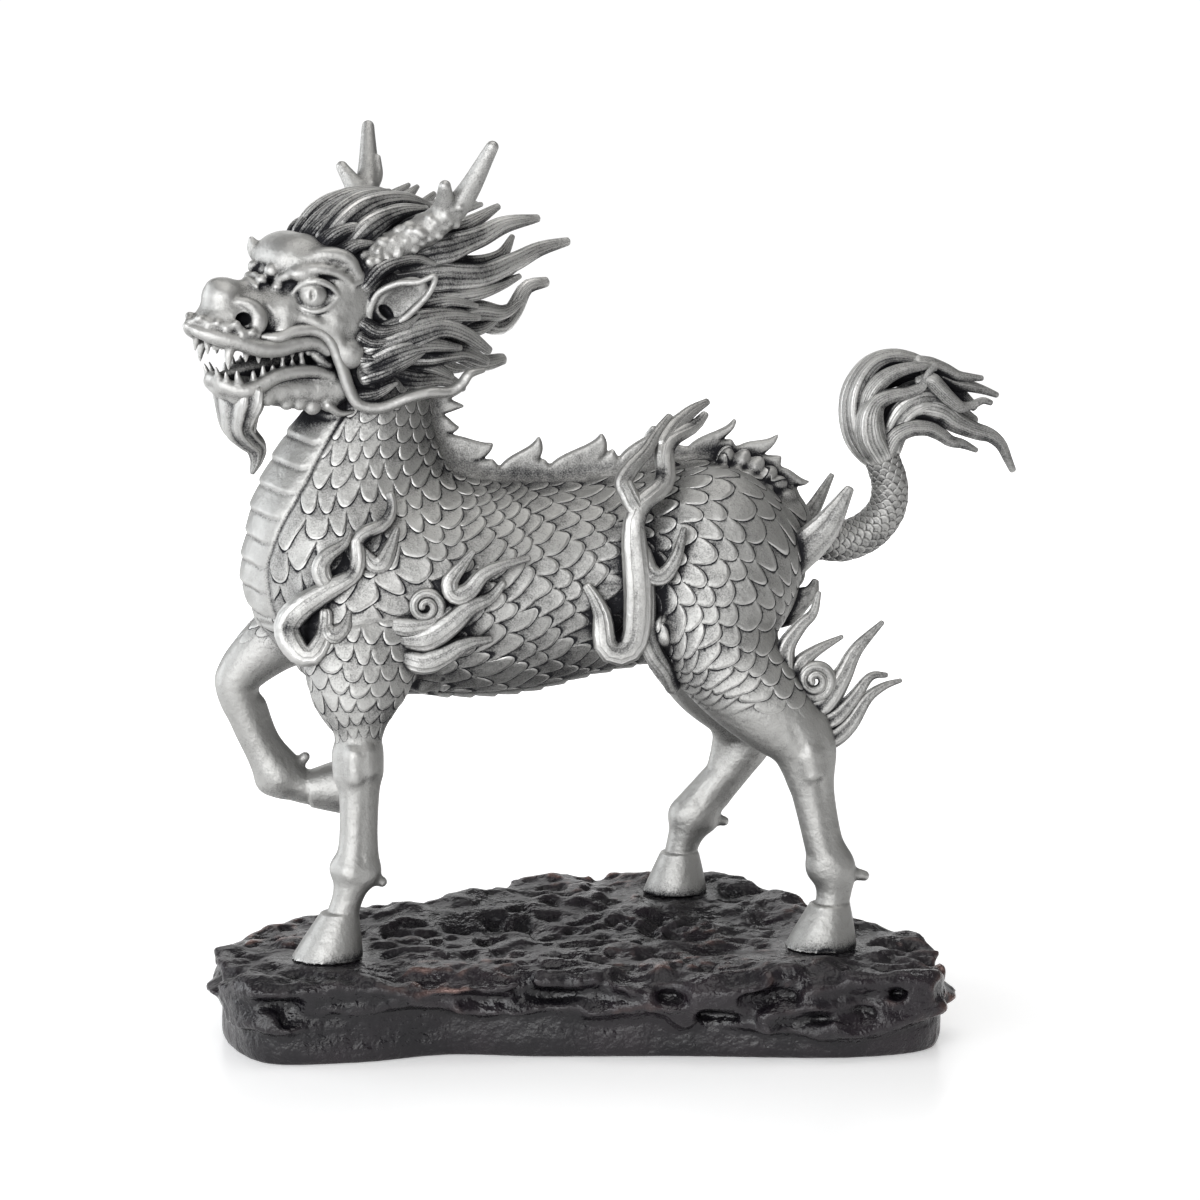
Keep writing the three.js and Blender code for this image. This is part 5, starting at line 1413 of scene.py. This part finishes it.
def outline_distance(x, y):
    """Signed distance from the rock's plan outline"""
    outline = np.array(ROCK_OUTLINE)
    ring = smooth_line(np.vstack([outline[-2:], outline, outline[:3]]), 4)[8:-8]
    middle = np.array([(ROCK_FRONT + ROCK_REAR) / 2, (ROCK_NEAR + ROCK_FAR) / 2])
    half = np.array([(ROCK_REAR - ROCK_FRONT) / 2, (ROCK_FAR - ROCK_NEAR) / 2])
    ring = middle + ring * half
    best = np.full(np.broadcast(x, y).shape, np.inf)
    inside = np.zeros(best.shape, bool)
    for a, b in zip(ring, np.roll(ring, -1, axis=0)):
        d = b - a
        t = np.clip(((x - a[0]) * d[0] + (y - a[1]) * d[1]) / max(d @ d, 1e-9), 0, 1)
        best = np.minimum(best, np.hypot(x - a[0] - t * d[0], y - a[1] - t * d[1]))
        crosses = (a[1] > y) != (b[1] > y)
        at = a[0] + (y - a[1]) * d[0] / (d[1] if abs(d[1]) > 1e-9 else 1e-9)
        inside ^= crosses & (x < at)
    return np.where(inside, -best, best)


def rock_top(axes, x, y, along, over):
    """Level of the top, and how rough it may be: broad lumps, a slope up to the far hind hoof, finer
    ripples that run lengthwise, pits, and a flat place under each hoof"""
    coarse = np.sin(7 * along + 2 * over) * np.cos(5 * over - 3 * along)
    fine = np.sin(17 * along - 9 * over + 1) * np.sin(13 * over + 5 * along)
    slope = smoothstep(over, -0.1, 0.6) * 1.5
    top = -GAP + TOP_RELIEF * (0.04 * coarse + 0.03 * fine) + slope
    swell = lattice_noise(axes, (6, 4.5, 9), 11)
    knobs = lattice_noise(axes, (3.2, 2.4, 9), 13)
    dimples = lattice_noise(axes, (1.9, 1.5, 9), 12)
    small = lattice_noise(axes, (1.1, 0.9, 9), 14)
    worn = smoothstep(lattice_noise(axes, (9, 6, 9), 15), -0.35, 0.35)
    top = top + 0.5 * swell + 0.35 * knobs + 0.22 * small
    top = top - (0.3 + 0.45 * worn) * smoothstep(dimples, 0.05, 0.5)
    top = top + 0.25 * (1 - 2 * np.abs(lattice_noise(axes, (5, 2.6, 9), 16)))
    for px, py, size in PITS:
        off = np.hypot((x - px) / 1.35, y - py) / size
        top = top - PIT_DEPTH * np.exp(-off ** 2) + PIT_RIM * np.exp(-((off - 1.35) / 0.35) ** 2)
    keep = np.ones(np.broadcast(x, y).shape)
    for px, py, reach, level in FLATS:
        near = 1 - smoothstep(np.hypot(x - px, y - py), reach + 0.3, reach + 2.2)
        top = top * (1 - near) + (level - GAP) * near
        keep = keep * (1 - 0.9 * near)
    return top, keep


def rock_field():
    rock = Field([-52, -31, -12.4], [49, 29, 5.5], ROCK_STEP)
    axes = [(np.arange(n) + s) * ROCK_STEP for n, s in zip(rock.values.shape, rock.start)]
    x, y, z = np.meshgrid(*axes, indexing="ij", sparse=True)
    half_x, half_y = (ROCK_REAR - ROCK_FRONT) / 2, (ROCK_FAR - ROCK_NEAR) / 2
    along = (x - (ROCK_FRONT + ROCK_REAR) / 2) / half_x
    over = (y - (ROCK_NEAR + ROCK_FAR) / 2) / half_y
    flat_axes = [axes[0], axes[1], axes[2][:1]]
    side = outline_distance(x, y)
    top, keep = rock_top(flat_axes, x, y, along, over)

    # the side: a plain band below, lumps and swirls that hang over it
    share = (z - ROCK_BOTTOM) / -ROCK_BOTTOM
    band = 0.4 + 0.2 * lattice_noise(flat_axes, (12, 12, 9), 21)
    band = band + 0.07 * lattice_noise(flat_axes, (3.4, 3.4, 9), 22)
    above = smoothstep(share, band - 0.04, band + 0.08)
    swirl = lattice_noise(axes, (7.5, 7.5, 3.2), 23)
    bubbles = lattice_noise(axes, (3.2, 3.2, 2.2), 24)
    grit = lattice_noise(axes, (1.1, 1.1, 0.8), 25)
    slow = lattice_noise(axes, (11, 11, 5), 26)
    folds = 1 - 2.6 * np.abs(swirl)
    dents = smoothstep(lattice_noise(axes, (4.6, 4.6, 2.4), 27), 0.2, 0.6)
    rough = 1.05 * folds + 0.75 * bubbles + 0.25 * grit + 1.0 * slow - 1.9 * dents
    bulge = -1.4 + 0.35 * smoothstep(share, 0, 0.16) + 0.35 * slow + above * (1.35 + 0.95 * rough)
    bulge = bulge - 1.1 * smoothstep(share, 0.8, 1.05)
    skin = -smooth_min(-(side - bulge), -(z - top), TOP_EDGE_BLEND)
    inner = above * keep * smoothstep(-side, 7, 1.5)
    skin = skin - 0.3 * inner * (0.5 * bubbles + 0.4 * grit)
    rock.values[...] = -smooth_min(-skin, -(ROCK_BOTTOM - z), BOTTOM_EDGE_BLEND)
    rock.soften(1)
    return rock


# Materials

PEWTER_SKIN = (0.4, 0.397, 0.386, 1)
PEWTER_POLISHED = (0.78, 0.775, 0.76, 1)
# dark colour of patina in recesses, also used for painted shade
PEWTER_PATINA_AND_SHADE = (0.03, 0.03, 0.034, 1)
RESIN_DARK = (0.004, 0.0032, 0.0052, 1)
RESIN_LIGHT = (0.0145, 0.0105, 0.014, 1)
RESIN_RIDGE = (0.05, 0.041, 0.045, 1)
RESIN_COPPER = (0.28, 0.17, 0.145, 1)
# colour of painted shade in the rock's hollows and on its undersides
RESIN_PAINTED_SHADE = (0.0025, 0.0022, 0.003, 1)
FLOOR_TONES = (0.86, 0.86, 0.865, 1), (0.88, 0.88, 0.885, 1)


class Nodes:
    """Short hand for a material's nodes"""

    def __init__(self, material):
        material.use_nodes = True
        self.tree = material.node_tree
        self.tree.nodes.clear()

    def new(self, kind, **settings):
        node = self.tree.nodes.new(kind)
        for name, value in settings.items():
            setattr(node, name, value)
        return node

    def feed(self, socket, value):
        if isinstance(value, (int, float, tuple)):
            socket.default_value = value
        else:
            self.tree.links.new(value, socket)

    def math(self, operation, *values, clamp=False):
        node = self.new("ShaderNodeMath", operation=operation, use_clamp=clamp)
        for socket, value in zip(node.inputs, values):
            self.feed(socket, value)
        return node.outputs[0]

    def plus(self, first, second, clamp=False):
        return self.math("ADD", first, second, clamp=clamp)

    def minus(self, first, second, clamp=False):
        return self.math("SUBTRACT", first, second, clamp=clamp)

    def times(self, first, second, clamp=False):
        return self.math("MULTIPLY", first, second, clamp=clamp)

    def parts(self, vector):
        """The three components of a vector"""
        node = self.new("ShaderNodeSeparateXYZ")
        self.feed(node.inputs[0], vector)
        return node.outputs

    def ramp(self, value, low, high, bottom=0.0, top=1.0):
        node = self.new("ShaderNodeMapRange", interpolation_type="SMOOTHSTEP")
        for socket, entry in zip(node.inputs, (value, low, high, bottom, top)):
            self.feed(socket, entry)
        return node.outputs[0]

    def mix(self, share, first, second):
        node = self.new("ShaderNodeMix", data_type="RGBA")
        self.feed(node.inputs[0], share)
        self.feed(node.inputs[6], first)
        self.feed(node.inputs[7], second)
        return node.outputs[2]

    def noise(self, scale, detail=2.0, rough=0.5):
        node = self.new("ShaderNodeTexNoise")
        self.feed(node.inputs["Scale"], scale)
        self.feed(node.inputs["Detail"], detail)
        self.feed(node.inputs["Roughness"], rough)
        self.feed(node.inputs["Vector"], self.new("ShaderNodeTexCoord").outputs["Object"])
        return node.outputs["Fac"]

    def attribute(self, name):
        return self.new("ShaderNodeAttribute", attribute_name=name).outputs["Vector"]

    def finish(self, colour, metallic, roughness, bump, specular=0.5):
        shader = self.shader = self.new("ShaderNodeBsdfPrincipled")
        self.feed(shader.inputs["Base Color"], colour)
        self.feed(shader.inputs["Metallic"], metallic)
        self.feed(shader.inputs["Roughness"], roughness)
        self.feed(shader.inputs["Specular IOR Level"], specular)
        if bump is not None:
            self.feed(shader.inputs["Normal"], bump)
        output = self.new("ShaderNodeOutputMaterial")
        self.tree.links.new(shader.outputs[0], output.inputs[0])

    def bump(self, height, strength, distance, normal=None):
        node = self.new("ShaderNodeBump")
        self.feed(node.inputs["Height"], height)
        self.feed(node.inputs["Strength"], strength)
        self.feed(node.inputs["Distance"], distance)
        if normal is not None:
            self.feed(node.inputs["Normal"], normal)
        return node.outputs[0]


def scale_nodes(n):
    """The scale profile again, as fine as the render: height and groove, weighted by its strength"""
    rows, columns, strength = n.parts(n.attribute("lattice"))
    base = n.math("FLOOR", rows)
    share = n.minus(rows, base)
    odd = n.times(n.math("FLOORED_MODULO", base, 2.0), 0.5)
    even = n.minus(0.5, odd)

    def offset(shift):
        moved = n.plus(n.minus(columns, shift), 0.5)
        return n.minus(n.math("FLOORED_MODULO", moved, 1.0), 0.5)

    def edge(across):
        double = n.times(across, 2.0)
        rest = n.math("MAXIMUM", n.minus(1.0, n.times(double, double)), 0.0)
        return n.minus(n.times(n.math("SQRT", rest), SCALE_REACH), share)

    first = edge(offset(odd))
    second = n.plus(edge(offset(even)), 1.0)
    over = n.math("GREATER_THAN", first, 0.0)
    under = n.minus(1.0, over)
    to_edge = n.plus(n.times(first, over), n.times(second, under))
    rise = n.minus(1.0, n.math("DIVIDE", to_edge, SCALE_OVERLAP), clamp=True)
    lip = n.ramp(to_edge, 0.0, 0.14, 0.3, 1.0)
    height = n.times(n.times(rise, lip), strength)
    groove = n.times(n.times(n.ramp(first, -0.2, -0.02), under), strength)
    which = n.new("ShaderNodeCombineXYZ")
    n.feed(which.inputs[0], n.plus(base, under))
    shift = n.plus(n.times(odd, over), n.times(even, under))
    n.feed(which.inputs[1], n.math("ROUND", n.minus(columns, shift)))
    tone = n.new("ShaderNodeTexWhiteNoise", noise_dimensions="2D")
    n.feed(tone.inputs["Vector"], which.outputs[0])
    # painted shade: darker towards each scale's root, under the edge of the row above
    root = n.times(n.minus(1.0, rise), strength)
    edge_light = n.times(n.ramp(to_edge, 0.03, 0.15, 1.0, 0.0), strength)
    return height, groove, n.times(tone.outputs[0], strength), root, edge_light


def strand_nodes(n, count):
    """Fine grooves that run along hair"""
    cosine, sine, along = n.parts(n.attribute("strand"))
    angle = n.math("ARCTAN2", sine, cosine)
    sway = n.times(n.noise(140.0, 2.0, 0.5), 3.0)
    phase = n.plus(n.times(angle, float(count)), n.plus(sway, along))
    wave = n.math("SINE", phase)
    return n.ramp(wave, 0.1, 0.95)


def pewter_material(name, scaled=False, strand_count=0, strand_depth=1.0, patina=0.0, polish=0.8):
    material = bpy.data.materials.new(name)
    n = Nodes(material)
    hollow, ridge, groove = n.parts(n.attribute("wear_and_shade"))
    speckle = n.noise(2600.0, 3.0, 0.6)
    cloud = n.noise(55.0, 3.0, 0.55)
    uneven = n.noise(430.0, 3.0, 0.6)
    if scaled:
        height, line, tone, root, edge_light = scale_nodes(n)
        groove = n.math("MAXIMUM", n.times(groove, 0.6), line)
    if strand_count:
        strand = strand_nodes(n, strand_count)
        groove = n.times(strand, 0.33 * strand_depth)
    # hollow darkens as patina and painted shade; groove darkens as patina in the grooves
    dark = n.plus(n.times(hollow, 0.85), n.times(groove, 0.58), clamp=True)
    if scaled:
        ridge = n.plus(ridge, n.times(edge_light, 0.5), clamp=True)
        # painted shade towards each scale's root
        dark = n.plus(dark, n.times(root, 0.17))
        dark = n.plus(dark, n.times(tone, 0.18))
    blotch = n.times(n.minus(uneven, 0.5), 0.45)
    stain_and_shade = n.plus(n.times(n.minus(cloud, 0.45), 0.5), blotch)
    grain = n.times(n.minus(speckle, 0.5), 0.95)
    dark = n.plus(n.plus(dark, stain_and_shade), n.plus(grain, patina), clamp=True)
    dark = n.minus(dark, n.times(ridge, 0.5), clamp=True)
    body = n.mix(n.times(ridge, polish), PEWTER_SKIN, PEWTER_POLISHED)
    colour = n.mix(n.ramp(dark, 0.05, 0.85), body, PEWTER_PATINA_AND_SHADE)
    rough = n.plus(n.times(speckle, 0.16), 0.45)
    rough = n.plus(rough, n.times(dark, 0.25))
    rough = n.minus(rough, n.times(ridge, 0.1))
    normal = n.bump(uneven, 0.4, 0.0007)
    normal = n.bump(speckle, 0.22, 0.0001, normal)
    if scaled:
        normal = n.bump(height, 0.6, 0.0003, normal)
    if strand_count:
        normal = n.bump(n.minus(1.0, strand), 0.7 * strand_depth, 0.0004, normal)
    n.finish(colour, 1.0, rough, normal)
    return material


def resin_material():
    material = bpy.data.materials.new("dark_resin")
    n = Nodes(material)
    hollow, ridge, _ = n.parts(n.attribute("wear_and_shade"))
    patches = n.noise(38.0, 4.0, 0.6)
    fine = n.noise(420.0, 3.0, 0.6)
    base = n.mix(n.ramp(patches, 0.35, 0.7), RESIN_DARK, RESIN_LIGHT)
    base = n.mix(n.times(ridge, 0.5), base, RESIN_RIDGE)
    copper = n.times(n.ramp(n.noise(32.0, 2.0, 0.5), 0.54, 0.66), n.ramp(ridge, 0.05, 0.6))
    colour = n.mix(n.times(copper, 0.6), base, RESIN_COPPER)
    # painted shade: darker in hollows and on faces that look down
    colour = n.mix(n.times(hollow, 0.85), colour, RESIN_PAINTED_SHADE)
    rough = n.ramp(n.noise(90.0, 3.0, 0.6), 0.35, 0.7, 0.2, 0.42)
    rough = n.minus(rough, n.times(n.math("MAXIMUM", hollow, copper), 0.1), clamp=True)
    normal = n.bump(n.noise(230.0, 3.0, 0.55), 0.75, 0.0016)
    normal = n.bump(fine, 0.5, 0.0008, normal)
    n.finish(colour, n.times(copper, 0.6), rough, normal, specular=0.42)
    return material


# Openness: how much of the space in front of a point other metal and rock fill. It darkens the colour, as
# patina in fine recesses and as painted shade where parts close in.

class Surroundings:
    STEP = 0.5
    BAND = 3
    MARGIN = 8
    # how far in front of a surface each blurred grid is read
    CLOSE = 0.9
    BROAD = 2.4

    def __init__(self, shells):
        low = np.min([s[0].min(axis=0) for s in shells], axis=0) - self.MARGIN
        high = np.max([s[0].max(axis=0) for s in shells], axis=0) + self.MARGIN
        self.start = np.floor(low / self.STEP).astype(int)
        shape = np.ceil(high / self.STEP).astype(int) - self.start + 1
        solid = np.zeros(shape, np.float32)
        for shell in shells:
            block = np.empty(tuple(shape), np.float32)
            level_set(shell, self.STEP, self.BAND).copyToArray(block, ijk=tuple(int(v) for v in self.start))
            np.maximum(solid, np.clip(0.5 - block / self.STEP, 0, 1), out=solid)
        self.near = self.blurred(solid, 2, 2)
        self.wide = self.blurred(self.near, 5, 2)

    @staticmethod
    def blurred(values, reach, times):
        for _ in range(times):
            for axis in range(3):
                total = np.cumsum(values, axis=axis, dtype=np.float64)
                total = np.moveaxis(total, axis, 0)
                size = 2 * reach + 1
                out = np.zeros_like(total)
                out[reach + 1:-reach] = total[size:] - total[:-size]
                values = np.moveaxis(out / size, 0, axis).astype(np.float32)
        return values

    def sample(self, values, points):
        place = points / self.STEP - self.start
        base = np.clip(np.floor(place).astype(int), 0, np.array(values.shape) - 2)
        share = np.clip(place - base, 0, 1)
        total = 0
        for i in (0, 1):
            for j in (0, 1):
                for k in (0, 1):
                    weight = (
                        np.where(i, share[:, 0], 1 - share[:, 0])
                        * np.where(j, share[:, 1], 1 - share[:, 1])
                        * np.where(k, share[:, 2], 1 - share[:, 2]))
                    total = total + weight * values[base[:, 0] + i, base[:, 1] + j, base[:, 2] + k]
        return total

    # painted shade and patina: how closely other metal and rock close in on a point
    def hollow(self, points, normals):
        close = self.sample(self.near, points + normals * self.CLOSE)
        broad = self.sample(self.wide, points + normals * self.BROAD)
        return (0.75 * smoothstep(close, 0.2, 0.6) + 0.75 * smoothstep(broad, 0.16, 0.52)).clip(0, 1)


def thin(shell, limit):
    """The same shell with about `limit` triangles, fewer where it is smooth"""
    points, quads, triangles = shell
    count = 2 * len(quads) + len(triangles)
    if count <= limit:
        return shell
    mesh = bpy.data.meshes.new("thinned")
    fill_mesh(mesh, points, quads, triangles)
    carrier = new_object("thinned", mesh)
    decimate = carrier.modifiers.new("fewer", "DECIMATE")
    decimate.ratio = limit / count
    decimate.use_collapse_triangulate = True
    result = carrier.evaluated_get(bpy.context.evaluated_depsgraph_get()).to_mesh()
    new_points = np.empty(3 * len(result.vertices), np.float32)
    result.vertices.foreach_get("co", new_points)
    corners = np.empty(len(result.loops), np.int32)
    result.loops.foreach_get("vertex_index", corners)
    carrier.to_mesh_clear()
    bpy.data.objects.remove(carrier)
    bpy.data.meshes.remove(mesh)
    return (
        new_points.reshape(-1, 3).astype(float), np.zeros((0, 4), int),
        corners.reshape(-1, 3).astype(int))


def fill_mesh(mesh, points, quads, triangles):
    mesh.vertices.add(len(points))
    mesh.vertices.foreach_set("co", points.astype(np.float32).ravel())
    corners = np.concatenate([quads.ravel(), triangles.ravel()]).astype(np.int32)
    mesh.loops.add(len(corners))
    mesh.loops.foreach_set("vertex_index", corners)
    starts = np.concatenate([
        np.arange(len(quads)) * 4, len(quads) * 4 + np.arange(len(triangles)) * 3]).astype(np.int32)
    mesh.polygons.add(len(starts))
    mesh.polygons.foreach_set("loop_start", starts)
    mesh.update(calc_edges=True)


def body_shade(points):
    """Painted shade: darker metal along the top of the back beside the crest, and under the tail root"""
    x, y, z = points.T
    # painted shade on the top of the back, behind the withers
    back = smoothstep(7 - np.abs(y), 0, 6) * smoothstep(z, 50.5, 55) * smoothstep(x, -26, -20)
    # painted shade under the tail root
    under_tail_shade = smoothstep(7.5 - np.linalg.norm(points - [25, 0, 46], axis=1), 0, 6)
    return 0.22 * back + 0.6 * under_tail_shade


def wear_and_shade_of(shell, normals, surroundings, fineness, stain_and_shade, groove=None):
    """Per point: hollow, ridge, groove. Hollow is patina in recesses plus painted shade where other parts
    close in, on faces that look down, and wherever the caller adds shade.
    """
    edges = mesh_edges(shell)
    smooth = spread(shell[0], edges, 3)
    bend = ((shell[0] - smooth) * normals).sum(axis=1) / fineness
    ridge = np.clip(spread(bend, edges, 1), 0, 1)
    dent = np.clip(spread(-bend, edges, 1), 0, 1)
    # painted shade: faces that look down are darkened
    under = 0.32 * smoothstep(-normals[:, 2], -0.1, 0.9)
    # hollow also takes the painted shade that the caller adds
    hollow = np.clip(surroundings.hollow(shell[0], normals) + 0.8 * dent + under + stain_and_shade, 0, 1)
    return np.column_stack([hollow, ridge, np.zeros(len(hollow)) if groove is None else groove])


def add_piece(name, shell, normals, material, node, attributes, part=None):
    """A Blender object of a shell, or of some of its faces"""
    points, quads, triangles = shell
    if part is not None:
        quads, triangles = quads[part[0]], triangles[part[1]]
        used = np.unique(np.concatenate([quads.ravel(), triangles.ravel()]))
        index = np.full(len(points), -1)
        index[used] = np.arange(len(used))
        points, normals, quads, triangles = points[used], normals[used], index[quads], index[triangles]
        attributes = {key: value[used] for key, value in attributes.items()}
    metres = points * HUNDREDTH + [0, 0, SOLE_LEVEL]
    mesh = bpy.data.meshes.new(name)
    fill_mesh(mesh, metres, quads, triangles)
    mesh.validate()
    mesh.shade_smooth()
    mesh.normals_split_custom_set_from_vertices(normals.astype(np.float32))
    for key, value in attributes.items():
        layer = mesh.attributes.new(key, "FLOAT_VECTOR", "POINT")
        layer.data.foreach_set("vector", value.astype(np.float32).ravel())
    mesh.materials.append(material)
    piece = new_object(name, mesh)
    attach(piece, ROOT)
    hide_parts(node)


def split_by(shell, values, limits):
    """Masks that share a shell's faces among the ranges between the limits"""
    _, quads, triangles = shell
    bounds = [-np.inf, *limits, np.inf]
    masks = []
    for low, high in zip(bounds[:-1], bounds[1:]):
        of_quads = values[quads].mean(axis=1)
        of_triangles = values[triangles].mean(axis=1)
        masks.append(((of_quads >= low) & (of_quads < high), (of_triangles >= low) & (of_triangles < high)))
    return masks


# Floor and lights, in metres

FLOOR_RINGS = [0.25, 0.5, 1.0, 1.6]
FLOOR_SIDES = 96
LIGHTS_AIM = (0, 0, 0.1)


def make_floor():
    """A round pale floor that glows a little behind the figure"""
    count = FLOOR_SIDES
    turn = 2 * math.pi * np.arange(count) / count
    rings = FLOOR_RINGS
    points = [(0, 0, 0)] + [(r * math.cos(t), r * math.sin(t), 0) for r in rings for t in turn]
    faces = [(0, 1 + j, 1 + (j + 1) % count) for j in range(count)]
    for ring in range(len(rings) - 1):
        first = 1 + ring * count
        for j in range(count):
            k = (j + 1) % count
            faces.append((first + j, first + count + j, first + count + k, first + k))
    mesh = bpy.data.meshes.new("floor")
    mesh.from_pydata(points, [], faces)
    floor = new_object("floor", mesh)
    material = bpy.data.materials.new("floor")
    n = Nodes(material)
    tone = n.mix(n.noise(1.5), *FLOOR_TONES)
    n.finish(tone, 0.0, 0.28, None, specular=0.35)
    n.shader.inputs["Emission Color"].default_value = (1, 1, 1, 1)
    across, back, _ = n.parts(n.new("ShaderNodeTexCoord").outputs["Object"])
    behind = n.ramp(back, -0.1, 0.8, 0.34, 0.95)
    beside = n.ramp(n.math("ABSOLUTE", across), 0.5, 0.9, 1.0, 0.35)
    n.feed(n.shader.inputs["Emission Strength"], n.times(behind, beside))
    floor.data.materials.append(material)


def area_light(name, place, size, power, colour=(1, 1, 1)):
    data = bpy.data.lights.new(name, "AREA")
    data.shape = "RECTANGLE"
    data.size, data.size_y = size
    data.energy = power
    data.color = colour
    light = new_object(name, data)
    light.location = place
    light.rotation_euler = (Vector(LIGHTS_AIM) - Vector(place)).to_track_quat("-Z", "Y").to_euler()


def make_lights():
    area_light("top", (0.1, -0.1, 1.0), (0.9, 0.7), 3.4, (1.0, 0.99, 0.97))
    area_light("left", (-0.9, -0.85, 0.4), (0.7, 0.8), 7.5, (0.97, 0.985, 1.0))
    area_light("window", (-1.1, 0.3, 0.35), (0.7, 0.8), 6.0, (0.95, 0.975, 1.0))
    area_light("right", (1.05, -0.3, 0.45), (0.22, 0.8), 0.45, (1.0, 0.985, 0.96))
    area_light("front", (-0.3, -1.3, 0.42), (1.1, 0.8), 9.0)
    area_light("rear", (-0.2, 1.0, 0.7), (1.2, 0.4), 2.5)
    world = bpy.data.worlds.new("studio")
    bpy.context.scene.world = world
    world.use_nodes = True
    tree = world.node_tree
    place = tree.nodes.new("ShaderNodeTexCoord")
    split = tree.nodes.new("ShaderNodeSeparateXYZ")
    ramp = tree.nodes.new("ShaderNodeMapRange")
    ramp.interpolation_type = "SMOOTHSTEP"
    # white behind the figure, dim all round it
    for socket, value in zip(list(ramp.inputs)[1:5], (0.91, 0.95, 0.17, 1.05)):
        socket.default_value = value
    tree.links.new(place.outputs["Generated"], split.inputs[0])
    tree.links.new(split.outputs[1], ramp.inputs[0])
    tree.links.new(ramp.outputs[0], tree.nodes["Background"].inputs[1])
    tree.nodes["Background"].inputs[0].default_value = (1.0, 1.0, 1.0, 1)


# The dressed pieces. Limits are triangle counts.

BODY_LIMIT = 360000
HEAD_LIMIT = 132000
HORN_LIMIT = 36000
WHISKER_LIMIT = 12000
ROCK_LIMIT = 130000
# Where the body is cut crosswise into its pieces
BODY_CUTS = [-22.0, 4.0]
# How much of a bulge, in hundredths, reads as a fully worn ridge
FINENESS = 0.08
BODY_FINENESS = 0.12
TAIL_FINENESS = 0.1
ROCK_FINENESS = 0.12
# The rock's sides are pressed back from this far inside its outline
PRESS_MARGIN = 0.5


def gather(parts):
    """One shell of many, and the strand lines of its points"""
    return join([shell for shell, _ in parts]), np.vstack([lines for _, lines in parts])


def pressed_back(shell):
    """The rock's long sides, pressed back by half where they bulge past its outline"""
    points, quads, triangles = shell
    depth = points[:, 1]
    inner = np.clip(depth, ROCK_NEAR + PRESS_MARGIN, ROCK_FAR - PRESS_MARGIN)
    points[:, 1] = inner + 0.5 * (depth - inner)
    return points, quads, triangles


def add_scaled(names, shell, lattice, groove, surroundings, fineness, stain_and_shade, material, cuts=()):
    """The pieces of a scaled shell, cut crosswise"""
    normals = vertex_normals(shell)
    wear_and_shade = wear_and_shade_of(shell, normals, surroundings, fineness, stain_and_shade, groove)
    attributes = {"lattice": lattice, "wear_and_shade": wear_and_shade}
    for name, part in zip(names, split_by(shell, shell[0][:, 0], cuts)):
        add_piece(name, shell, normals, material, "qilin", attributes, part)


def add_plain(name, shell, surroundings, material, node, fineness=FINENESS, lines=None, stain_and_shade=0):
    normals = vertex_normals(shell)
    attributes = {"wear_and_shade": wear_and_shade_of(shell, normals, surroundings, fineness, stain_and_shade)}
    if lines is not None:
        attributes["strand"] = lines
    add_piece(name, shell, normals, material, node, attributes)


def add_figure():
    body = thin(dress_body(body_field().mesh())[0], BODY_LIMIT)
    lattice, groove = dress_body(body)[1:]
    tail, tail_lattice, tail_groove = tail_shell()
    head = set_on_neck(thin(head_field().mesh(), HEAD_LIMIT))
    horns = set_on_neck(thin(join([horn_shell(LEFT, 3), horn_shell(RIGHT, 5)]), HORN_LIMIT))
    whiskers = set_on_neck(thin(whisker_shell(), WHISKER_LIMIT))
    mane, mane_lines = gather(mane_shells())
    beard, beard_lines = gather(beard_shells())
    tuft, tuft_lines = gather(tuft_shells())
    flames, flame_lines = gather(flame_shells())
    rock = thin(pressed_back(rock_field().mesh()), ROCK_LIMIT)
    surroundings = Surroundings([rock, body, head, horns, whiskers, mane, beard, tail, tuft, flames])

    scaled = pewter_material("pewter_scaled", scaled=True)
    add_scaled(
        ("qilin_fore", "qilin_middle", "qilin_rear"), body, lattice, groove, surroundings, BODY_FINENESS,
        body_shade(body[0]), scaled, BODY_CUTS)
    add_scaled(
        ("qilin_tail",), tail, tail_lattice, 0.6 * tail_groove, surroundings, TAIL_FINENESS, 0.02, scaled)

    plain = pewter_material("pewter", patina=0.05)
    hair = pewter_material("pewter_hair", strand_count=16, strand_depth=1.15, patina=0.06, polish=1.0)
    chin_hair = pewter_material("pewter_beard", strand_count=16, strand_depth=0.7, patina=0.2, polish=0.35)
    tail_hair = pewter_material("pewter_tuft", strand_count=24, strand_depth=0.8, patina=0.2, polish=0.5)
    flame_metal = pewter_material("pewter_flames", strand_count=7, strand_depth=0.55, patina=0.3, polish=0.35)
    root_shade = 0.12 + 0.6 * smoothstep(mane_lines[:, 2], 0.8, 0.15)
    for name, shell, material, lines, stain_and_shade in (
            ("qilin_head", head, plain, None, 0), ("qilin_horns", horns, plain, None, 0),
            ("qilin_whiskers", whiskers, plain, None, 0), ("qilin_mane", mane, hair, mane_lines, root_shade),
            ("qilin_beard", beard, chin_hair, beard_lines, 0), ("qilin_tuft", tuft, tail_hair, tuft_lines, 0),
            ("qilin_flames", flames, flame_metal, flame_lines, 0)):
        add_plain(name, shell, surroundings, material, "qilin", lines=lines, stain_and_shade=stain_and_shade)
    add_plain("rock", rock, surroundings, resin_material(), "rock_base", fineness=ROCK_FINENESS)


make_floor()
make_lights()
make_camera()
bpy.context.scene.view_settings.view_transform = "Standard"
add_figure()
